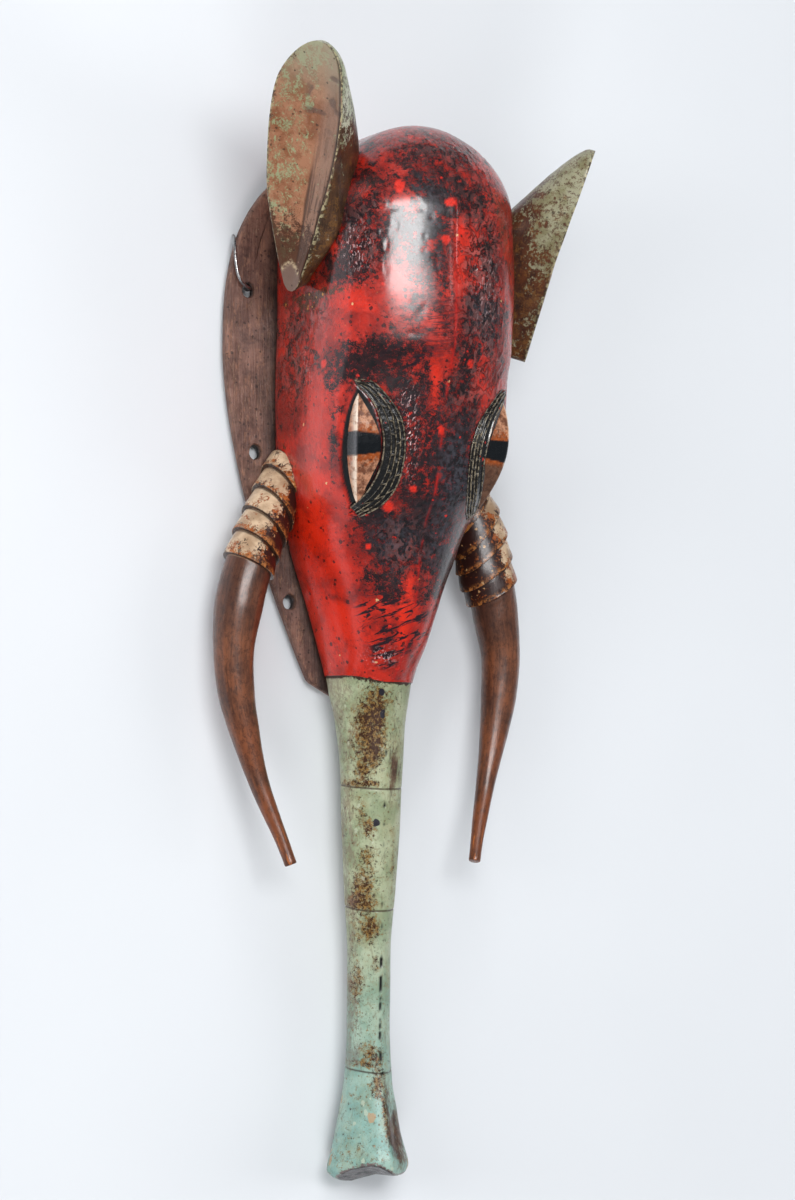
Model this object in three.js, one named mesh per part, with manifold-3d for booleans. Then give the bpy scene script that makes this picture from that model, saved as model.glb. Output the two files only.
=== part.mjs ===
// Carved wooden elephant mask with a wire hanging loop, lying on its back with the face up.
// Millimetres. X is across the face, Y runs from the trunk tip to the crown, Z stands up out of the face.
// The shapes below are laid out with Z = 0 on the front of the flange; the last step sets the origin.
import * as THREE from "three";
import { mergeVertices } from "three/addons/utils/BufferGeometryUtils.js";
import Module from "manifold-3d";

const wasm = await Module();
wasm.setup();

// Head, snout and trunk as one run of cross-sections.
// half: half width. mid: height of the widest line. front, back: heights of the ridge and of the underside.
// nose, box: how full the section is in front of and behind the widest line (2 is an ellipse).
const sections = [
  { y: -379.0, half: 11.0, mid: 17.0, front: 38.5, back: 3.0, nose: 2.0, box: 2.2 },
  { y: -377.5, half: 18.5, mid: 14.0, front: 41.5, back: -2.0, nose: 1.9, box: 2.3 },
  { y: -375.0, half: 24.0, mid: 11.5, front: 43.2, back: -4.6, nose: 1.8, box: 2.4 },
  { y: -370.5, half: 27.6, mid: 9.0, front: 44.0, back: -5.6, nose: 1.75, box: 2.4 },
  { y: -361.0, half: 25.0, mid: 9.0, front: 41.6, back: -6.0, nose: 1.75, box: 2.3 },
  { y: -351.0, half: 21.7, mid: 9.3, front: 39.0, back: -6.3, nose: 1.8, box: 2.2 },
  { y: -334.0, half: 18.1, mid: 11.2, front: 35.0, back: -6.0, nose: 1.9, box: 2.1 },
  { y: -318.0, half: 15.5, mid: 12.0, front: 32.0, back: -5.0, nose: 1.8, box: 2.0 },
  { y: -286.0, half: 13.9, mid: 13.0, front: 29.0, back: -3.0, nose: 1.8, box: 2.0 },
  { y: -234.0, half: 13.9, mid: 13.6, front: 31.0, back: -3.8, nose: 1.8, box: 2.0 },
  { y: -189.0, half: 17.2, mid: 15.1, front: 32.3, back: -3.5, nose: 1.9, box: 2.0 },
  { y: -154.0, half: 19.6, mid: 16.5, front: 34.3, back: -4.0, nose: 1.9, box: 2.0 },
  { y: -119.0, half: 20.8, mid: 16.8, front: 36.2, back: -4.5, nose: 1.9, box: 2.0 },
  { y: -82.0, half: 24.0, mid: 14.5, front: 38.5, back: -5.5, nose: 1.9, box: 2.1 },
  { y: -62.0, half: 28.0, mid: 12.5, front: 41.0, back: -6.0, nose: 1.9, box: 2.3 },
  { y: -45.0, half: 31.0, mid: 10.0, front: 52.0, back: -6.0, nose: 1.9, box: 2.6 },
  { y: -27.0, half: 36.0, mid: 9.0, front: 65.2, back: -4.0, nose: 1.9, box: 3.0 },
  { y: 0.0, half: 44.0, mid: 8.0, front: 75.6, back: -2.0, nose: 1.9, box: 4.0 },
  { y: 29.0, half: 53.5, mid: 12.0, front: 82.1, back: -1.0, nose: 2.0, box: 8.0 },
  { y: 47.0, half: 58.0, mid: 16.0, front: 87.5, back: -1.0, nose: 2.1, box: 12.0 },
  { y: 70.0, half: 63.0, mid: 42.0, front: 101.0, back: -1.0, nose: 2.2, box: 16.0 },
  { y: 107.0, half: 67.5, mid: 67.0, front: 109.0, back: -1.0, nose: 2.2, box: 16.0 },
  { y: 143.0, half: 68.0, mid: 66.0, front: 117.7, back: -1.0, nose: 2.2, box: 16.0 },
  { y: 163.0, half: 67.6, mid: 70.0, front: 125.0, back: -1.0, nose: 2.2, box: 16.0 },
  { y: 196.0, half: 67.0, mid: 76.0, front: 126.6, back: -1.0, nose: 2.2, box: 16.0 },
  { y: 249.0, half: 67.0, mid: 76.0, front: 126.7, back: -1.0, nose: 2.1, box: 14.0 },
];
const crownStart = 249; // where the crown begins to close
const crownHeight = 61.5; // from there to its top
const crownFullness = 1.9;
const tipStart = -320; // where the trunk's end begins to lean
const tipLean = 0.19; // how much lower the back of the end cut is than its front lip

// Flange round the back of the head.
const flangeHalf = 101.2; // at its widest
const flangeWideY = 167;
const flangeTop = 131; // from the widest line to the top edge
const flangeTopFullness = 2.6;
const flangeTaper = 0.00816; // the lower edges draw in by flangeTaper * distance ^ flangeTaperPower
const flangeTaperPower = 1.66;
const flangeCorner = { x: 36.5, y: -54.4 };
const flangeFoot = { x: 20, y: -63.6 };
const flangeEnd = -69;
const flangeEdge = 6.5; // thickness at the outer edge
const flangeRim = 10; // thickness round the hollow, where the mask rests
const rimInset = { x: 0.71, y: 0.87 }; // the resting rim's outline against the flange's
const rimSlope = { x: 0.05, y: 0.03 }; // the same, for the slope down to the thin edge
const lashingHoles = [
  { x: 84.2, y: 206.4 },
  { x: 78.7, y: 98.6 },
  { x: 53.0, y: -0.4 },
];
const lashingHoleRadius = 3.2;

// Hollow for the wearer's face, open at the back.
const hollow = { bottom: 6, top: 286, wallSide: 13, wallFront: 18, fullness: 3.2 };

// Ears: blades leaning forward and out, each with a dished face and a thick body grown out of the head.
// foot, top: the ends of the face's long axis on the +X side. depth: thickness of the body behind the face.
const ears = [
  { side: -1, foot: [82, 198.6, 53.8], top: [104, 342, 137.4] },
  { side: 1, foot: [90, 162.1, 67.3], top: [104, 296.8, 128.2] },
];
const earFaceNormal = [0.825, -0.3, 0.477];
const earHalfWidth = 25;
const earOffset = -5; // the outline's middle line lies behind the long axis
const earDish = 7;
const earBodyDepth = 50;

// Tusks: centre line and radius from inside the cheek to the tip, on the +X side.
const tuskRoots = {
  left: [
    { x: 59.0, y: 86.0, z: 15.0, r: 15.6 },
    { x: 78.0, y: 52.0, z: 16.0, r: 15.8 },
    { x: 90.5, y: 25.5, z: 15.6, r: 15.8 },
  ],
  right: [
    { x: 68.0, y: 84.0, z: 15.0, r: 15.6 },
    { x: 84.5, y: 52.0, z: 16.0, r: 15.8 },
    { x: 92.5, y: 25.5, z: 15.6, r: 15.8 },
  ],
};
const tuskLine = [
  { x: 98.2, y: -2.2, z: 14.8, r: 15.8 },
  { x: 102.5, y: -33.7, z: 15.2, r: 13.5 },
  { x: 100.6, y: -62.4, z: 15.6, r: 12.1 },
  { x: 96.2, y: -84.6, z: 17.2, r: 10.0 },
  { x: 91.4, y: -104.1, z: 19.1, r: 8.0 },
  { x: 86.0, y: -123.0, z: 21.8, r: 6.4 },
  { x: 80.3, y: -140.6, z: 25.7, r: 5.4 },
  { x: 74.5, y: -158.1, z: 30.2, r: 4.4 },
  { x: 69.9, y: -173.6, z: 34.0, r: 3.9 },
];
const tuskBands = 5; // overlapping stepped bands round the root
const tuskBandPitch = 14.6;
const tuskBandStart = { left: -1.5, right: 7.5 }; // along the centre line, where the first band begins
const tuskBandLean = 0.62; // how far a ring at the root leans towards the cheek, as a slope
const tuskBandStep = 2.0; // how far a band's lower edge stands out

// Eyes: almond bosses on the front corners of the head, on the +X side.
const eye = {
  top: { x: 54.2, y: 131, z: 95.5 },
  bottom: { x: 46, y: 60, z: 78.5 },
  ridge: { x: 5.6, z: 4.2 },
  inner: { x: -10, z: 3.2 },
  outer: { x: 7.0, z: -5.5 },
  root: { x: -5, z: -16 },
};

// Wire loop through the upper hole on the -X side and round the flange's edge.
const wireRadius = 1.0;
const wireLoop = [
  [-84.0, 206.8, -3.4],
  [-84.2, 207.2, 0.8],
  [-87.1, 207.6, 3.5],
  [-91.6, 210.2, 4.2],
  [-94.5, 215.8, 4.2],
  [-96.2, 227.0, 3.7],
  [-96.0, 234.5, 2.6],
  [-95.0, 239.8, -0.6],
  [-93.8, 242.8, -4.4],
  [-92.2, 242.8, -7.2],
  [-89.8, 239.6, -8.3],
  [-87.4, 228.0, -8.4],
  [-85.4, 216.0, -8.4],
  [-84.2, 209.2, -7.8],
];

// Smooth curve value at s through the points (keys[i], values[i]); the keys rise.
function smoothAt(keys, values, s) {
  const last = keys.length - 1;
  if (s <= keys[0]) return values[0];
  if (s >= keys[last]) return values[last];
  let i = 0;
  while (s > keys[i + 1]) i++;
  const slope = (j) => (values[j + 1] - values[j]) / (keys[j + 1] - keys[j]);
  const tangent = (j) => {
    if (j === 0) return slope(0);
    if (j === last) return slope(last - 1);
    const before = slope(j - 1);
    const after = slope(j);
    return before * after <= 0 ? 0 : (2 * before * after) / (before + after);
  };
  const h = keys[i + 1] - keys[i];
  const t = (s - keys[i]) / h;
  const a = values[i];
  const b = values[i + 1];
  const ta = tangent(i) * h;
  const tb = tangent(i + 1) * h;
  const t2 = t * t;
  const t3 = t2 * t;
  return (2 * t3 - 3 * t2 + 1) * a + (t3 - 2 * t2 + t) * ta + (3 * t2 - 2 * t3) * b + (t3 - t2) * tb;
}

const sectionKeys = sections.map((s) => s.y);
const sectionTable = {};
for (const name of ["half", "mid", "front", "back", "nose", "box"]) {
  sectionTable[name] = sections.map((s) => s[name]);
}

// Cross-section sizes of the head, snout and trunk at height y along the mask.
function sectionAt(y) {
  const made = {};
  for (const name in sectionTable) made[name] = smoothAt(sectionKeys, sectionTable[name], y);
  if (y > crownStart) {
    const t = Math.min((y - crownStart) / crownHeight, 1);
    const s = Math.pow(1 - Math.pow(t, crownFullness), 1 / crownFullness);
    made.half *= s;
    made.front = made.mid + (made.front - made.mid) * s;
    made.back = made.mid - (made.mid - made.back) * Math.min(1.5 * Math.pow(s, 0.6), 1);
    made.box = 2.2 + (made.box - 2.2) * Math.pow(s, 2);
  }
  return made;
}

// Point at angle a round a section: 0 is +X, a quarter turn is the front ridge.
function sectionPoint(s, a) {
  const c = Math.cos(a);
  const d = Math.sin(a);
  const n = d >= 0 ? s.nose : s.box;
  const reach = d >= 0 ? s.front - s.mid : s.mid - s.back;
  const x = s.half * Math.sign(c) * Math.pow(Math.abs(c), 2 / n);
  const z = s.mid + reach * Math.sign(d) * Math.pow(Math.abs(d), 2 / n);
  return [x, z];
}

// Closed solid through rings of equal count, with a fan over each end.
function loft(rings) {
  const count = rings[0].length;
  const points = rings.flat();
  const faces = [];
  for (let i = 0; i + 1 < rings.length; i++) {
    for (let j = 0; j < count; j++) {
      const k = (j + 1) % count;
      const a = i * count + j;
      const b = i * count + k;
      faces.push(a, b, b + count, a, b + count, a + count);
    }
  }
  for (const end of [0, rings.length - 1]) {
    const ring = rings[end];
    const centre = [0, 1, 2].map((axis) => ring.reduce((sum, p) => sum + p[axis], 0) / count);
    const c = points.push(centre) - 1;
    for (let j = 0; j < count; j++) {
      const a = end * count + j;
      const b = end * count + ((j + 1) % count);
      if (end === 0) faces.push(c, b, a);
      else faces.push(c, a, b);
    }
  }
  return solidFrom(points, faces);
}

// Closed ring-shaped solid: the last ring joins the first.
function loopLoft(rings) {
  const count = rings[0].length;
  const faces = [];
  for (let i = 0; i < rings.length; i++) {
    const next = (i + 1) % rings.length;
    for (let j = 0; j < count; j++) {
      const k = (j + 1) % count;
      faces.push(i * count + j, i * count + k, next * count + k);
      faces.push(i * count + j, next * count + k, next * count + j);
    }
  }
  return solidFrom(rings.flat(), faces);
}

// A manifold solid from points and triangles, turned to face out.
function solidFrom(points, faces) {
  const geometry = new THREE.BufferGeometry();
  geometry.setAttribute("position", new THREE.Float32BufferAttribute(points.flat(), 3));
  geometry.setIndex(faces);
  const merged = mergeVertices(geometry, 1e-4);
  const position = merged.getAttribute("position").array;
  const index = [...merged.index.array];
  let volume = 0;
  const p = (i) => new THREE.Vector3().fromArray(position, 3 * i);
  const kept = [];
  for (let i = 0; i < index.length; i += 3) {
    const [a, b, c] = index.slice(i, i + 3);
    if (a === b || b === c || a === c) continue;
    kept.push(a, b, c);
    volume += p(a).dot(p(b).cross(p(c)));
  }
  if (volume < 0) kept.reverse();
  const mesh = new wasm.Mesh({
    numProp: 3,
    vertProperties: new Float32Array(position),
    triVerts: new Uint32Array(kept),
  });
  return new wasm.Manifold(mesh);
}

// Head, snout and trunk.
function makeHead() {
  const around = 32;
  const rows = [];
  for (let i = 0; i < 4; i++) rows.push(sections[i].y);
  for (let y = -361; y < -320; y += 10) rows.push(y);
  for (let y = -320; y < -80; y += 24) rows.push(y);
  for (let y = -80; y < crownStart; y += 11) rows.push(y);
  for (const t of [0, 0.25, 0.45, 0.62, 0.76, 0.87, 0.94, 0.98]) rows.push(crownStart + crownHeight * t);
  const rings = rows.map((y) => {
    const s = sectionAt(y);
    const lean = y < tipStart ? tipLean * Math.pow((tipStart - y) / (tipStart - sections[0].y), 1.5) : 0;
    const ring = [];
    for (let j = 0; j < around; j++) {
      const [x, z] = sectionPoint(s, (2 * Math.PI * j) / around);
      ring.push([x, y - lean * (s.front - z), z]);
    }
    return ring;
  });
  return loft(rings);
}

// Hollow inside the head, cut through the back.
function makeHollow() {
  const around = 24;
  const centre = (hollow.bottom + hollow.top) / 2;
  const reach = (hollow.top - hollow.bottom) / 2;
  const rings = [];
  for (let i = 0; i <= 18; i++) {
    const t = -Math.cos((Math.PI * i) / 18) * 0.985;
    const y = centre + reach * t;
    const s = sectionAt(Math.min(y, crownStart));
    const k = Math.pow(1 - Math.pow(Math.abs(t), hollow.fullness), 1 / hollow.fullness);
    const inner = {
      half: (s.half - hollow.wallSide) * k,
      mid: Math.min(s.mid, s.front - hollow.wallFront - 12) * k,
      front: (s.front - hollow.wallFront) * k,
      back: -60,
      nose: s.nose,
      box: 30,
    };
    const ring = [];
    for (let j = 0; j < around; j++) {
      const [x, z] = sectionPoint(inner, (2 * Math.PI * (j + 0.5)) / around);
      ring.push([x, y, z]);
    }
    rings.push(ring);
  }
  return loft(rings);
}

// Half width of the flange at height y.
function flangeAt(y) {
  if (y > flangeWideY) {
    const t = Math.min((y - flangeWideY) / flangeTop, 1);
    return flangeHalf * Math.pow(1 - Math.pow(t, flangeTopFullness), 1 / flangeTopFullness);
  }
  return flangeHalf - flangeTaper * Math.pow(flangeWideY - y, flangeTaperPower);
}

// Flange plate, thicker towards the resting rim, with its lashing holes.
function makeFlange() {
  const half = [];
  for (let i = 0; i <= 14; i++) {
    const y = flangeWideY + flangeTop * Math.sin((Math.PI * (14 - i)) / 28);
    half.push([flangeAt(y), y]);
  }
  for (let y = flangeWideY - 16; y > flangeCorner.y + 8; y -= 16) half.push([flangeAt(y), y]);
  half.push([flangeCorner.x, flangeCorner.y]);
  half.push([flangeFoot.x, flangeFoot.y]);
  half.push([0, flangeEnd]);
  half[0][0] = 0;
  const outline = [...half];
  for (let i = half.length - 2; i > 0; i--) outline.push([-half[i][0], half[i][1]]);
  const middle = 120;
  const inset = (p, x, y) => [p[0] * x, middle + (p[1] - middle) * y];
  const rings = [
    outline.map((p) => [p[0] * 0.995, middle + (p[1] - middle) * 0.997, 0]),
    outline.map((p) => [p[0], p[1], -1]),
    outline.map((p) => [p[0], p[1], -flangeEdge]),
    outline.map((p) => [...inset(p, rimInset.x + rimSlope.x, rimInset.y + rimSlope.y), -flangeEdge - 0.3]),
    outline.map((p) => [...inset(p, rimInset.x, rimInset.y), -flangeRim]),
  ];
  let plate = loft(rings);
  for (const hole of lashingHoles) {
    for (const side of [-1, 1]) {
      const drill = wasm.Manifold.cylinder(40, lashingHoleRadius, lashingHoleRadius, 20, true);
      plate = plate.subtract(drill.translate([side * hole.x, hole.y, 0]));
    }
  }
  return plate;
}

// Half width of an ear's face at the fraction t from its foot to its top.
function earWidthAt(t) {
  const peak = 0.67;
  if (t < peak) return earHalfWidth * (0.06 + 0.94 * Math.pow(Math.sin((Math.PI / 2) * (t / peak)), 0.82));
  const u = (t - peak) / (1 - peak);
  return earHalfWidth * Math.sqrt(Math.max(1 - Math.pow(u, 2.3), 0));
}

// One ear: at each step up the long axis, a dished face and a rounded body behind it.
function makeEar(ear) {
  const mirror = (v) => new THREE.Vector3(v[0] * ear.side, v[1], v[2]);
  const foot = mirror(ear.foot);
  const axis = mirror(ear.top).sub(foot);
  const length = axis.length();
  axis.normalize();
  const normal = mirror(earFaceNormal);
  normal.addScaledVector(axis, -normal.dot(axis)).normalize();
  const chord = new THREE.Vector3().crossVectors(axis, normal);
  if (chord.z < 0) chord.negate();
  const rings = [];
  const steps = 16;
  for (let i = 0; i <= steps; i++) {
    const t = Math.min(1 - Math.pow(1 - i / steps, 1.35), 0.998);
    const width = Math.max(earWidthAt(t), 0.8);
    const middle = earOffset * Math.min(t / 0.35, 1, (1 - t) / 0.06 + 0.2);
    const fall = (1 - t) * length;
    const depth = Math.min(1.75 * Math.pow(fall, 0.76), earBodyDepth) * (0.6 + 0.4 * Math.min(t / 0.4, 1));
    const full = 1.85 + 1.1 * Math.min(fall / 80, 1);
    const dish = earDish * Math.min(fall / 30, 1) * Math.min(t / 0.16, 1) * (width / earHalfWidth);
    const ring = [];
    const face = 8;
    for (let j = 0; j <= face; j++) {
      const q = 1 - (2 * j) / face;
      const hollowed = dish * (1 - Math.pow(Math.abs((q - 0.25) / (q > 0.25 ? 0.75 : 1.25)), 1.5));
      ring.push([middle + width * q, -hollowed]);
    }
    const back = 12;
    for (let j = 1; j < back; j++) {
      const a = (Math.PI * j) / back;
      const c = Math.cos(a);
      ring.push([
        middle - width * Math.sign(c) * Math.pow(Math.abs(c), 2 / full),
        -depth * Math.pow(Math.sin(a), 2 / full),
      ]);
    }
    rings.push(
      ring.map(([across, out]) => {
        const p = foot.clone().addScaledVector(axis, t * length);
        p.addScaledVector(chord, across).addScaledVector(normal, out);
        return p.toArray();
      }),
    );
  }
  return loft(rings);
}

// One tusk: round sections along its centre line, with a stepped band wherever one is due.
function makeTusk(side) {
  const line = [...(side < 0 ? tuskRoots.left : tuskRoots.right), ...tuskLine];
  const curve = new THREE.CatmullRomCurve3(
    line.map((p) => new THREE.Vector3(side * p.x, p.y, p.z)),
    false,
    "centripetal",
  );
  const total = curve.getLength();
  const around = 16;
  const last = line.length - 1;
  const keys = line.map((p, i) => i / last);
  const radii = line.map((p) => p.r);
  const start = side < 0 ? tuskBandStart.left : tuskBandStart.right;
  const stops = [];
  for (let band = 0; band < tuskBands; band++) {
    const from = start + band * tuskBandPitch;
    stops.push([from + 0.6, 0.25]);
    stops.push([from + tuskBandPitch - 0.6, tuskBandStep]);
    stops.push([from + tuskBandPitch, tuskBandStep * 0.8]);
  }
  const bandEnd = start + tuskBands * tuskBandPitch;
  stops.push([bandEnd + 0.6, 0]);
  for (let s = bandEnd + 8; s < total - 4; s += 11.5) stops.push([s, 0]);
  stops.push([total - 1, 0]);
  stops.push([total, -0.7]);
  const rings = [[0, 0], ...stops.filter(([s]) => s > 1)].map(([s, extra]) => {
    const u = curve.getUtoTmapping(Math.min(s / total, 1));
    const centre = curve.getPoint(u);
    const along = curve.getTangent(u);
    const sideways = new THREE.Vector3(0, 0, 1).cross(along).normalize();
    const upwards = along.clone().cross(sideways).normalize();
    const r = smoothAt(keys, radii, u) + extra;
    const outward = Math.sign(sideways.x) === side ? 1 : -1;
    const lean = tuskBandLean * Math.max(1 - s / (bandEnd + 26), 0);
    const ring = [];
    for (let j = 0; j < around; j++) {
      const a = (2 * Math.PI * j) / around;
      const p = centre.clone();
      p.addScaledVector(sideways, r * Math.cos(a)).addScaledVector(upwards, r * Math.sin(a));
      p.addScaledVector(along, -lean * outward * r * Math.cos(a));
      ring.push(p.toArray());
    }
    return ring;
  });
  return loft(rings);
}

// One eye: an almond with a flat front facet and a steep outer one, meeting in a ridge.
function makeEye(side) {
  const rings = [];
  const steps = 12;
  for (let i = 0; i <= steps; i++) {
    const t = 0.5 - 0.5 * Math.cos((Math.PI * i) / steps);
    const swell = Math.max(Math.pow(Math.sin(Math.PI * t), 0.8), 0.04);
    const x = eye.top.x + (eye.bottom.x - eye.top.x) * t + 1.2 * Math.sin(Math.PI * t);
    const y = eye.top.y + (eye.bottom.y - eye.top.y) * t;
    const z = eye.top.z + (eye.bottom.z - eye.top.z) * t + 6 * Math.sin(Math.PI * t);
    const ring = [eye.inner, eye.ridge, eye.outer, eye.root].map((o) => [side * (x + o.x * swell), y, z + o.z * swell]);
    rings.push(ring);
  }
  return loft(rings);
}

// Wire bent into a closed loop.
function makeWire() {
  const curve = new THREE.CatmullRomCurve3(
    wireLoop.map((p) => new THREE.Vector3(...p)),
    true,
    "centripetal",
  );
  const steps = 48;
  const around = 8;
  const frames = curve.computeFrenetFrames(steps, true);
  const rings = [];
  for (let i = 0; i < steps; i++) {
    const centre = curve.getPointAt(i / steps);
    const ring = [];
    for (let j = 0; j < around; j++) {
      const a = (2 * Math.PI * j) / around;
      const p = centre.clone();
      p.addScaledVector(frames.normals[i], wireRadius * Math.cos(a));
      p.addScaledVector(frames.binormals[i], wireRadius * Math.sin(a));
      ring.push(p.toArray());
    }
    rings.push(ring);
  }
  return loopLoft(rings);
}

let mask = makeHead().add(makeFlange());
for (const ear of ears) mask = mask.add(makeEar(ear));
for (const side of [-1, 1]) mask = mask.add(makeTusk(side)).add(makeEye(side));
mask = mask.subtract(makeHollow());
const wire = makeWire();

// Origin at the middle of the whole outline, on the plane the mask rests on.
const box = mask.boundingBox();
const shift = [0, -(box.min[1] + box.max[1]) / 2, -box.min[2]];

// A named mesh from a solid.
function meshOf(name, solid, color, roughness, metalness) {
  const data = solid.translate(shift).getMesh();
  const geometry = new THREE.BufferGeometry();
  const positions = new Float32Array(data.numVert * 3);
  for (let i = 0; i < data.numVert; i++) {
    positions.set(data.vertProperties.subarray(i * data.numProp, i * data.numProp + 3), i * 3);
  }
  geometry.setAttribute("position", new THREE.BufferAttribute(positions, 3));
  geometry.setIndex(new THREE.BufferAttribute(data.triVerts, 1));
  geometry.computeVertexNormals();
  const mesh = new THREE.Mesh(geometry, new THREE.MeshStandardMaterial({ color, roughness, metalness }));
  mesh.name = name;
  return mesh;
}

const group = new THREE.Group();
group.add(meshOf("carved_mask", mask, 0xb8402a, 0.45, 0));
group.add(meshOf("hanging_wire", wire, 0x9a9c9c, 0.35, 1));

export default group;
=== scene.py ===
# Carved and painted elephant mask lying on its back, with a wire loop to hang it by.
import math

import bpy
import numpy as np
from mathutils import Matrix


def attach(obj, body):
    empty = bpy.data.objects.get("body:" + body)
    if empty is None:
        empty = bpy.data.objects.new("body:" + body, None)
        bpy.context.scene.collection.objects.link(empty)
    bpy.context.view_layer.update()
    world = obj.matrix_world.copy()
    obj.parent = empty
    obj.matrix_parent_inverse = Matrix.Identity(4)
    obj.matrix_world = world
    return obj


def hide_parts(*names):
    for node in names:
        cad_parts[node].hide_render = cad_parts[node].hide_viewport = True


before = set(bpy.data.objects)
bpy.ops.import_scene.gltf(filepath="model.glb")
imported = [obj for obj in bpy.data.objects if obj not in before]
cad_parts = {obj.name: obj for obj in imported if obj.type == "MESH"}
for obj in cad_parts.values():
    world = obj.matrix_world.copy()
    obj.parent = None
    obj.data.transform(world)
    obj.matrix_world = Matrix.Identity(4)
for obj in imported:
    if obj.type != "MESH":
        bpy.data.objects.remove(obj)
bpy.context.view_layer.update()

# Shapes are worked out in millimetres with z = 0 on the front of the flange, and moved by this.
layout = {"shift": np.array([0.0, 21.0963, 10.0]), "perMetre": 1000.0}
# Colours are laid out across the photograph's view, which is turned 30 degrees about the mask.
viewTurn = {"cosine": 0.866, "sine": 0.5}


# helpers for shapes
def smoothAt(keys, values, s):
    # cubic Hermite curve through (keys, values); its slope at a key is the harmonic mean of the
    # slopes on both sides, or 0 where they turn
    step = np.diff(keys)
    slope = np.diff(values) / step
    turns = slope[:-1] * slope[1:] <= 0
    inner = np.where(turns, 0, 2 * slope[:-1] * slope[1:] / np.where(turns, 1, slope[:-1] + slope[1:]))
    tangent = np.concatenate([slope[:1], inner, slope[-1:]])
    s = np.clip(s, keys[0], keys[-1])
    i = np.clip(np.searchsorted(keys, s, side="right") - 1, 0, len(keys) - 2)
    t = (s - keys[i]) / step[i]
    ta, tb = tangent[i] * step[i], tangent[i + 1] * step[i]
    leaving = (2 * t**3 - 3 * t**2 + 1) * values[i] + (t**3 - 2 * t**2 + t) * ta
    return leaving + (3 * t**2 - 2 * t**3) * values[i + 1] + (t**3 - t**2) * tb


def ease(low, high, value):
    # 0 below low, 1 above high, 3t^2 - 2t^3 between them
    t = np.clip((value - low) / (high - low), 0, 1)
    return t * t * (3 - 2 * t)


lattice = {"entries": 4096, "primes": (73856093, 19349663, 83492791)}


def lumps(points, size, seed):
    # random heights from -1 to 1 on a lattice of the given spacing, eased between its corners
    q = points / size
    cell = np.floor(q).astype(np.int64)
    f = q - cell
    f = f * f * (3 - 2 * f)
    table = np.random.default_rng(seed).uniform(-1, 1, lattice["entries"])
    total = 0
    for corner in range(8):
        step = np.array([corner & 1, corner >> 1 & 1, corner >> 2])
        a, b, c = (at * prime for at, prime in zip(np.moveaxis(cell + step, -1, 0), lattice["primes"]))
        key = (a ^ b ^ c) % lattice["entries"]
        total = total + np.prod(np.where(step, f, 1 - f), axis=-1) * table[key]
    return total


def ridges(points, size, seed):
    # creases: 1 where the lumps cross zero, falling off to both sides
    return np.clip(1 - 3.2 * np.abs(lumps(points, size, seed)), 0, 1) ** 2


def unit(v):
    # each vector divided by its length
    return v / np.maximum(np.linalg.norm(v, axis=-1, keepdims=True), 1e-9)


def gridNormals(grid):
    # cross product of the differences along the rows and around the rings
    around = np.roll(grid, -1, axis=1) - np.roll(grid, 1, axis=1)
    along = np.gradient(grid, axis=0)
    return unit(np.cross(around, along))


def outwardNormals(grid):
    # the grid's normals, all turned over if most of them point towards the rings' middles
    normals = gridNormals(grid)
    outward = unit(grid - grid.mean(1, keepdims=True))
    return normals * np.sign(np.sum(normals * outward, -1).mean())


def makeObject(name, points, quads, triangles=None):
    # a mesh in metres from the points in millimetres, with its faces turned outwards
    points = (points + layout["shift"]) / layout["perMetre"]
    triangles = np.zeros((0, 3), int) if triangles is None else triangles
    fans = np.concatenate([quads[:, [0, 1, 2]], quads[:, [0, 2, 3]], triangles])
    a, b, c = points[fans[:, 0]], points[fans[:, 1]], points[fans[:, 2]]
    if np.sum(a * np.cross(b, c)) < 0:  # its volume is negative, so it is inside out
        quads, triangles = quads[:, ::-1], triangles[:, ::-1]
    corners = np.concatenate([quads.ravel(), triangles.ravel()]).astype(np.int32)
    starts = np.concatenate([np.arange(len(quads)) * 4, len(quads) * 4 + np.arange(len(triangles)) * 3])
    mesh = bpy.data.meshes.new(name)
    mesh.vertices.add(len(points))
    mesh.vertices.foreach_set("co", points.astype(np.float32).ravel())
    mesh.loops.add(len(corners))
    mesh.loops.foreach_set("vertex_index", corners)
    mesh.polygons.add(len(starts))
    mesh.polygons.foreach_set("loop_start", starts.astype(np.int32))
    mesh.update(calc_edges=True)
    mesh.validate()
    made = bpy.data.objects.new(name, mesh)
    bpy.context.scene.collection.objects.link(made)
    return made


def makeTube(name, grid, closed=False):
    # rings of points: neighbours in a ring and in the next ring span a face; unless the tube closes
    # on itself, a fan round the middle of the first and last ring closes its ends
    rows, around = grid.shape[:2]
    i = np.arange(rows if closed else rows - 1)[:, None] * around
    j = np.arange(around)[None]
    k = (j + 1) % around
    following = (i + around) % (rows * around)
    quads = np.stack([i + j, i + k, following + k, following + j], -1).reshape(-1, 4)
    points = grid.reshape(-1, 3)
    triangles = None
    if not closed:
        points = np.concatenate([points, [grid[0].mean(0), grid[-1].mean(0)]])
        j, k = j.ravel(), k.ravel()
        last = (rows - 1) * around
        start = np.stack([k, j, np.full(around, rows * around)], -1)
        end = np.stack([last + j, last + k, np.full(around, rows * around + 1)], -1)
        triangles = np.concatenate([start, end])
    return makeObject(name, points, quads, triangles)


def pointsOf(piece):
    # the piece's vertices back in millimetres from the flange's front
    raw = np.empty(len(piece.data.vertices) * 3, np.float32)
    piece.data.vertices.foreach_get("co", raw)
    return raw.reshape(-1, 3).astype(float) * layout["perMetre"] - layout["shift"]


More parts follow.
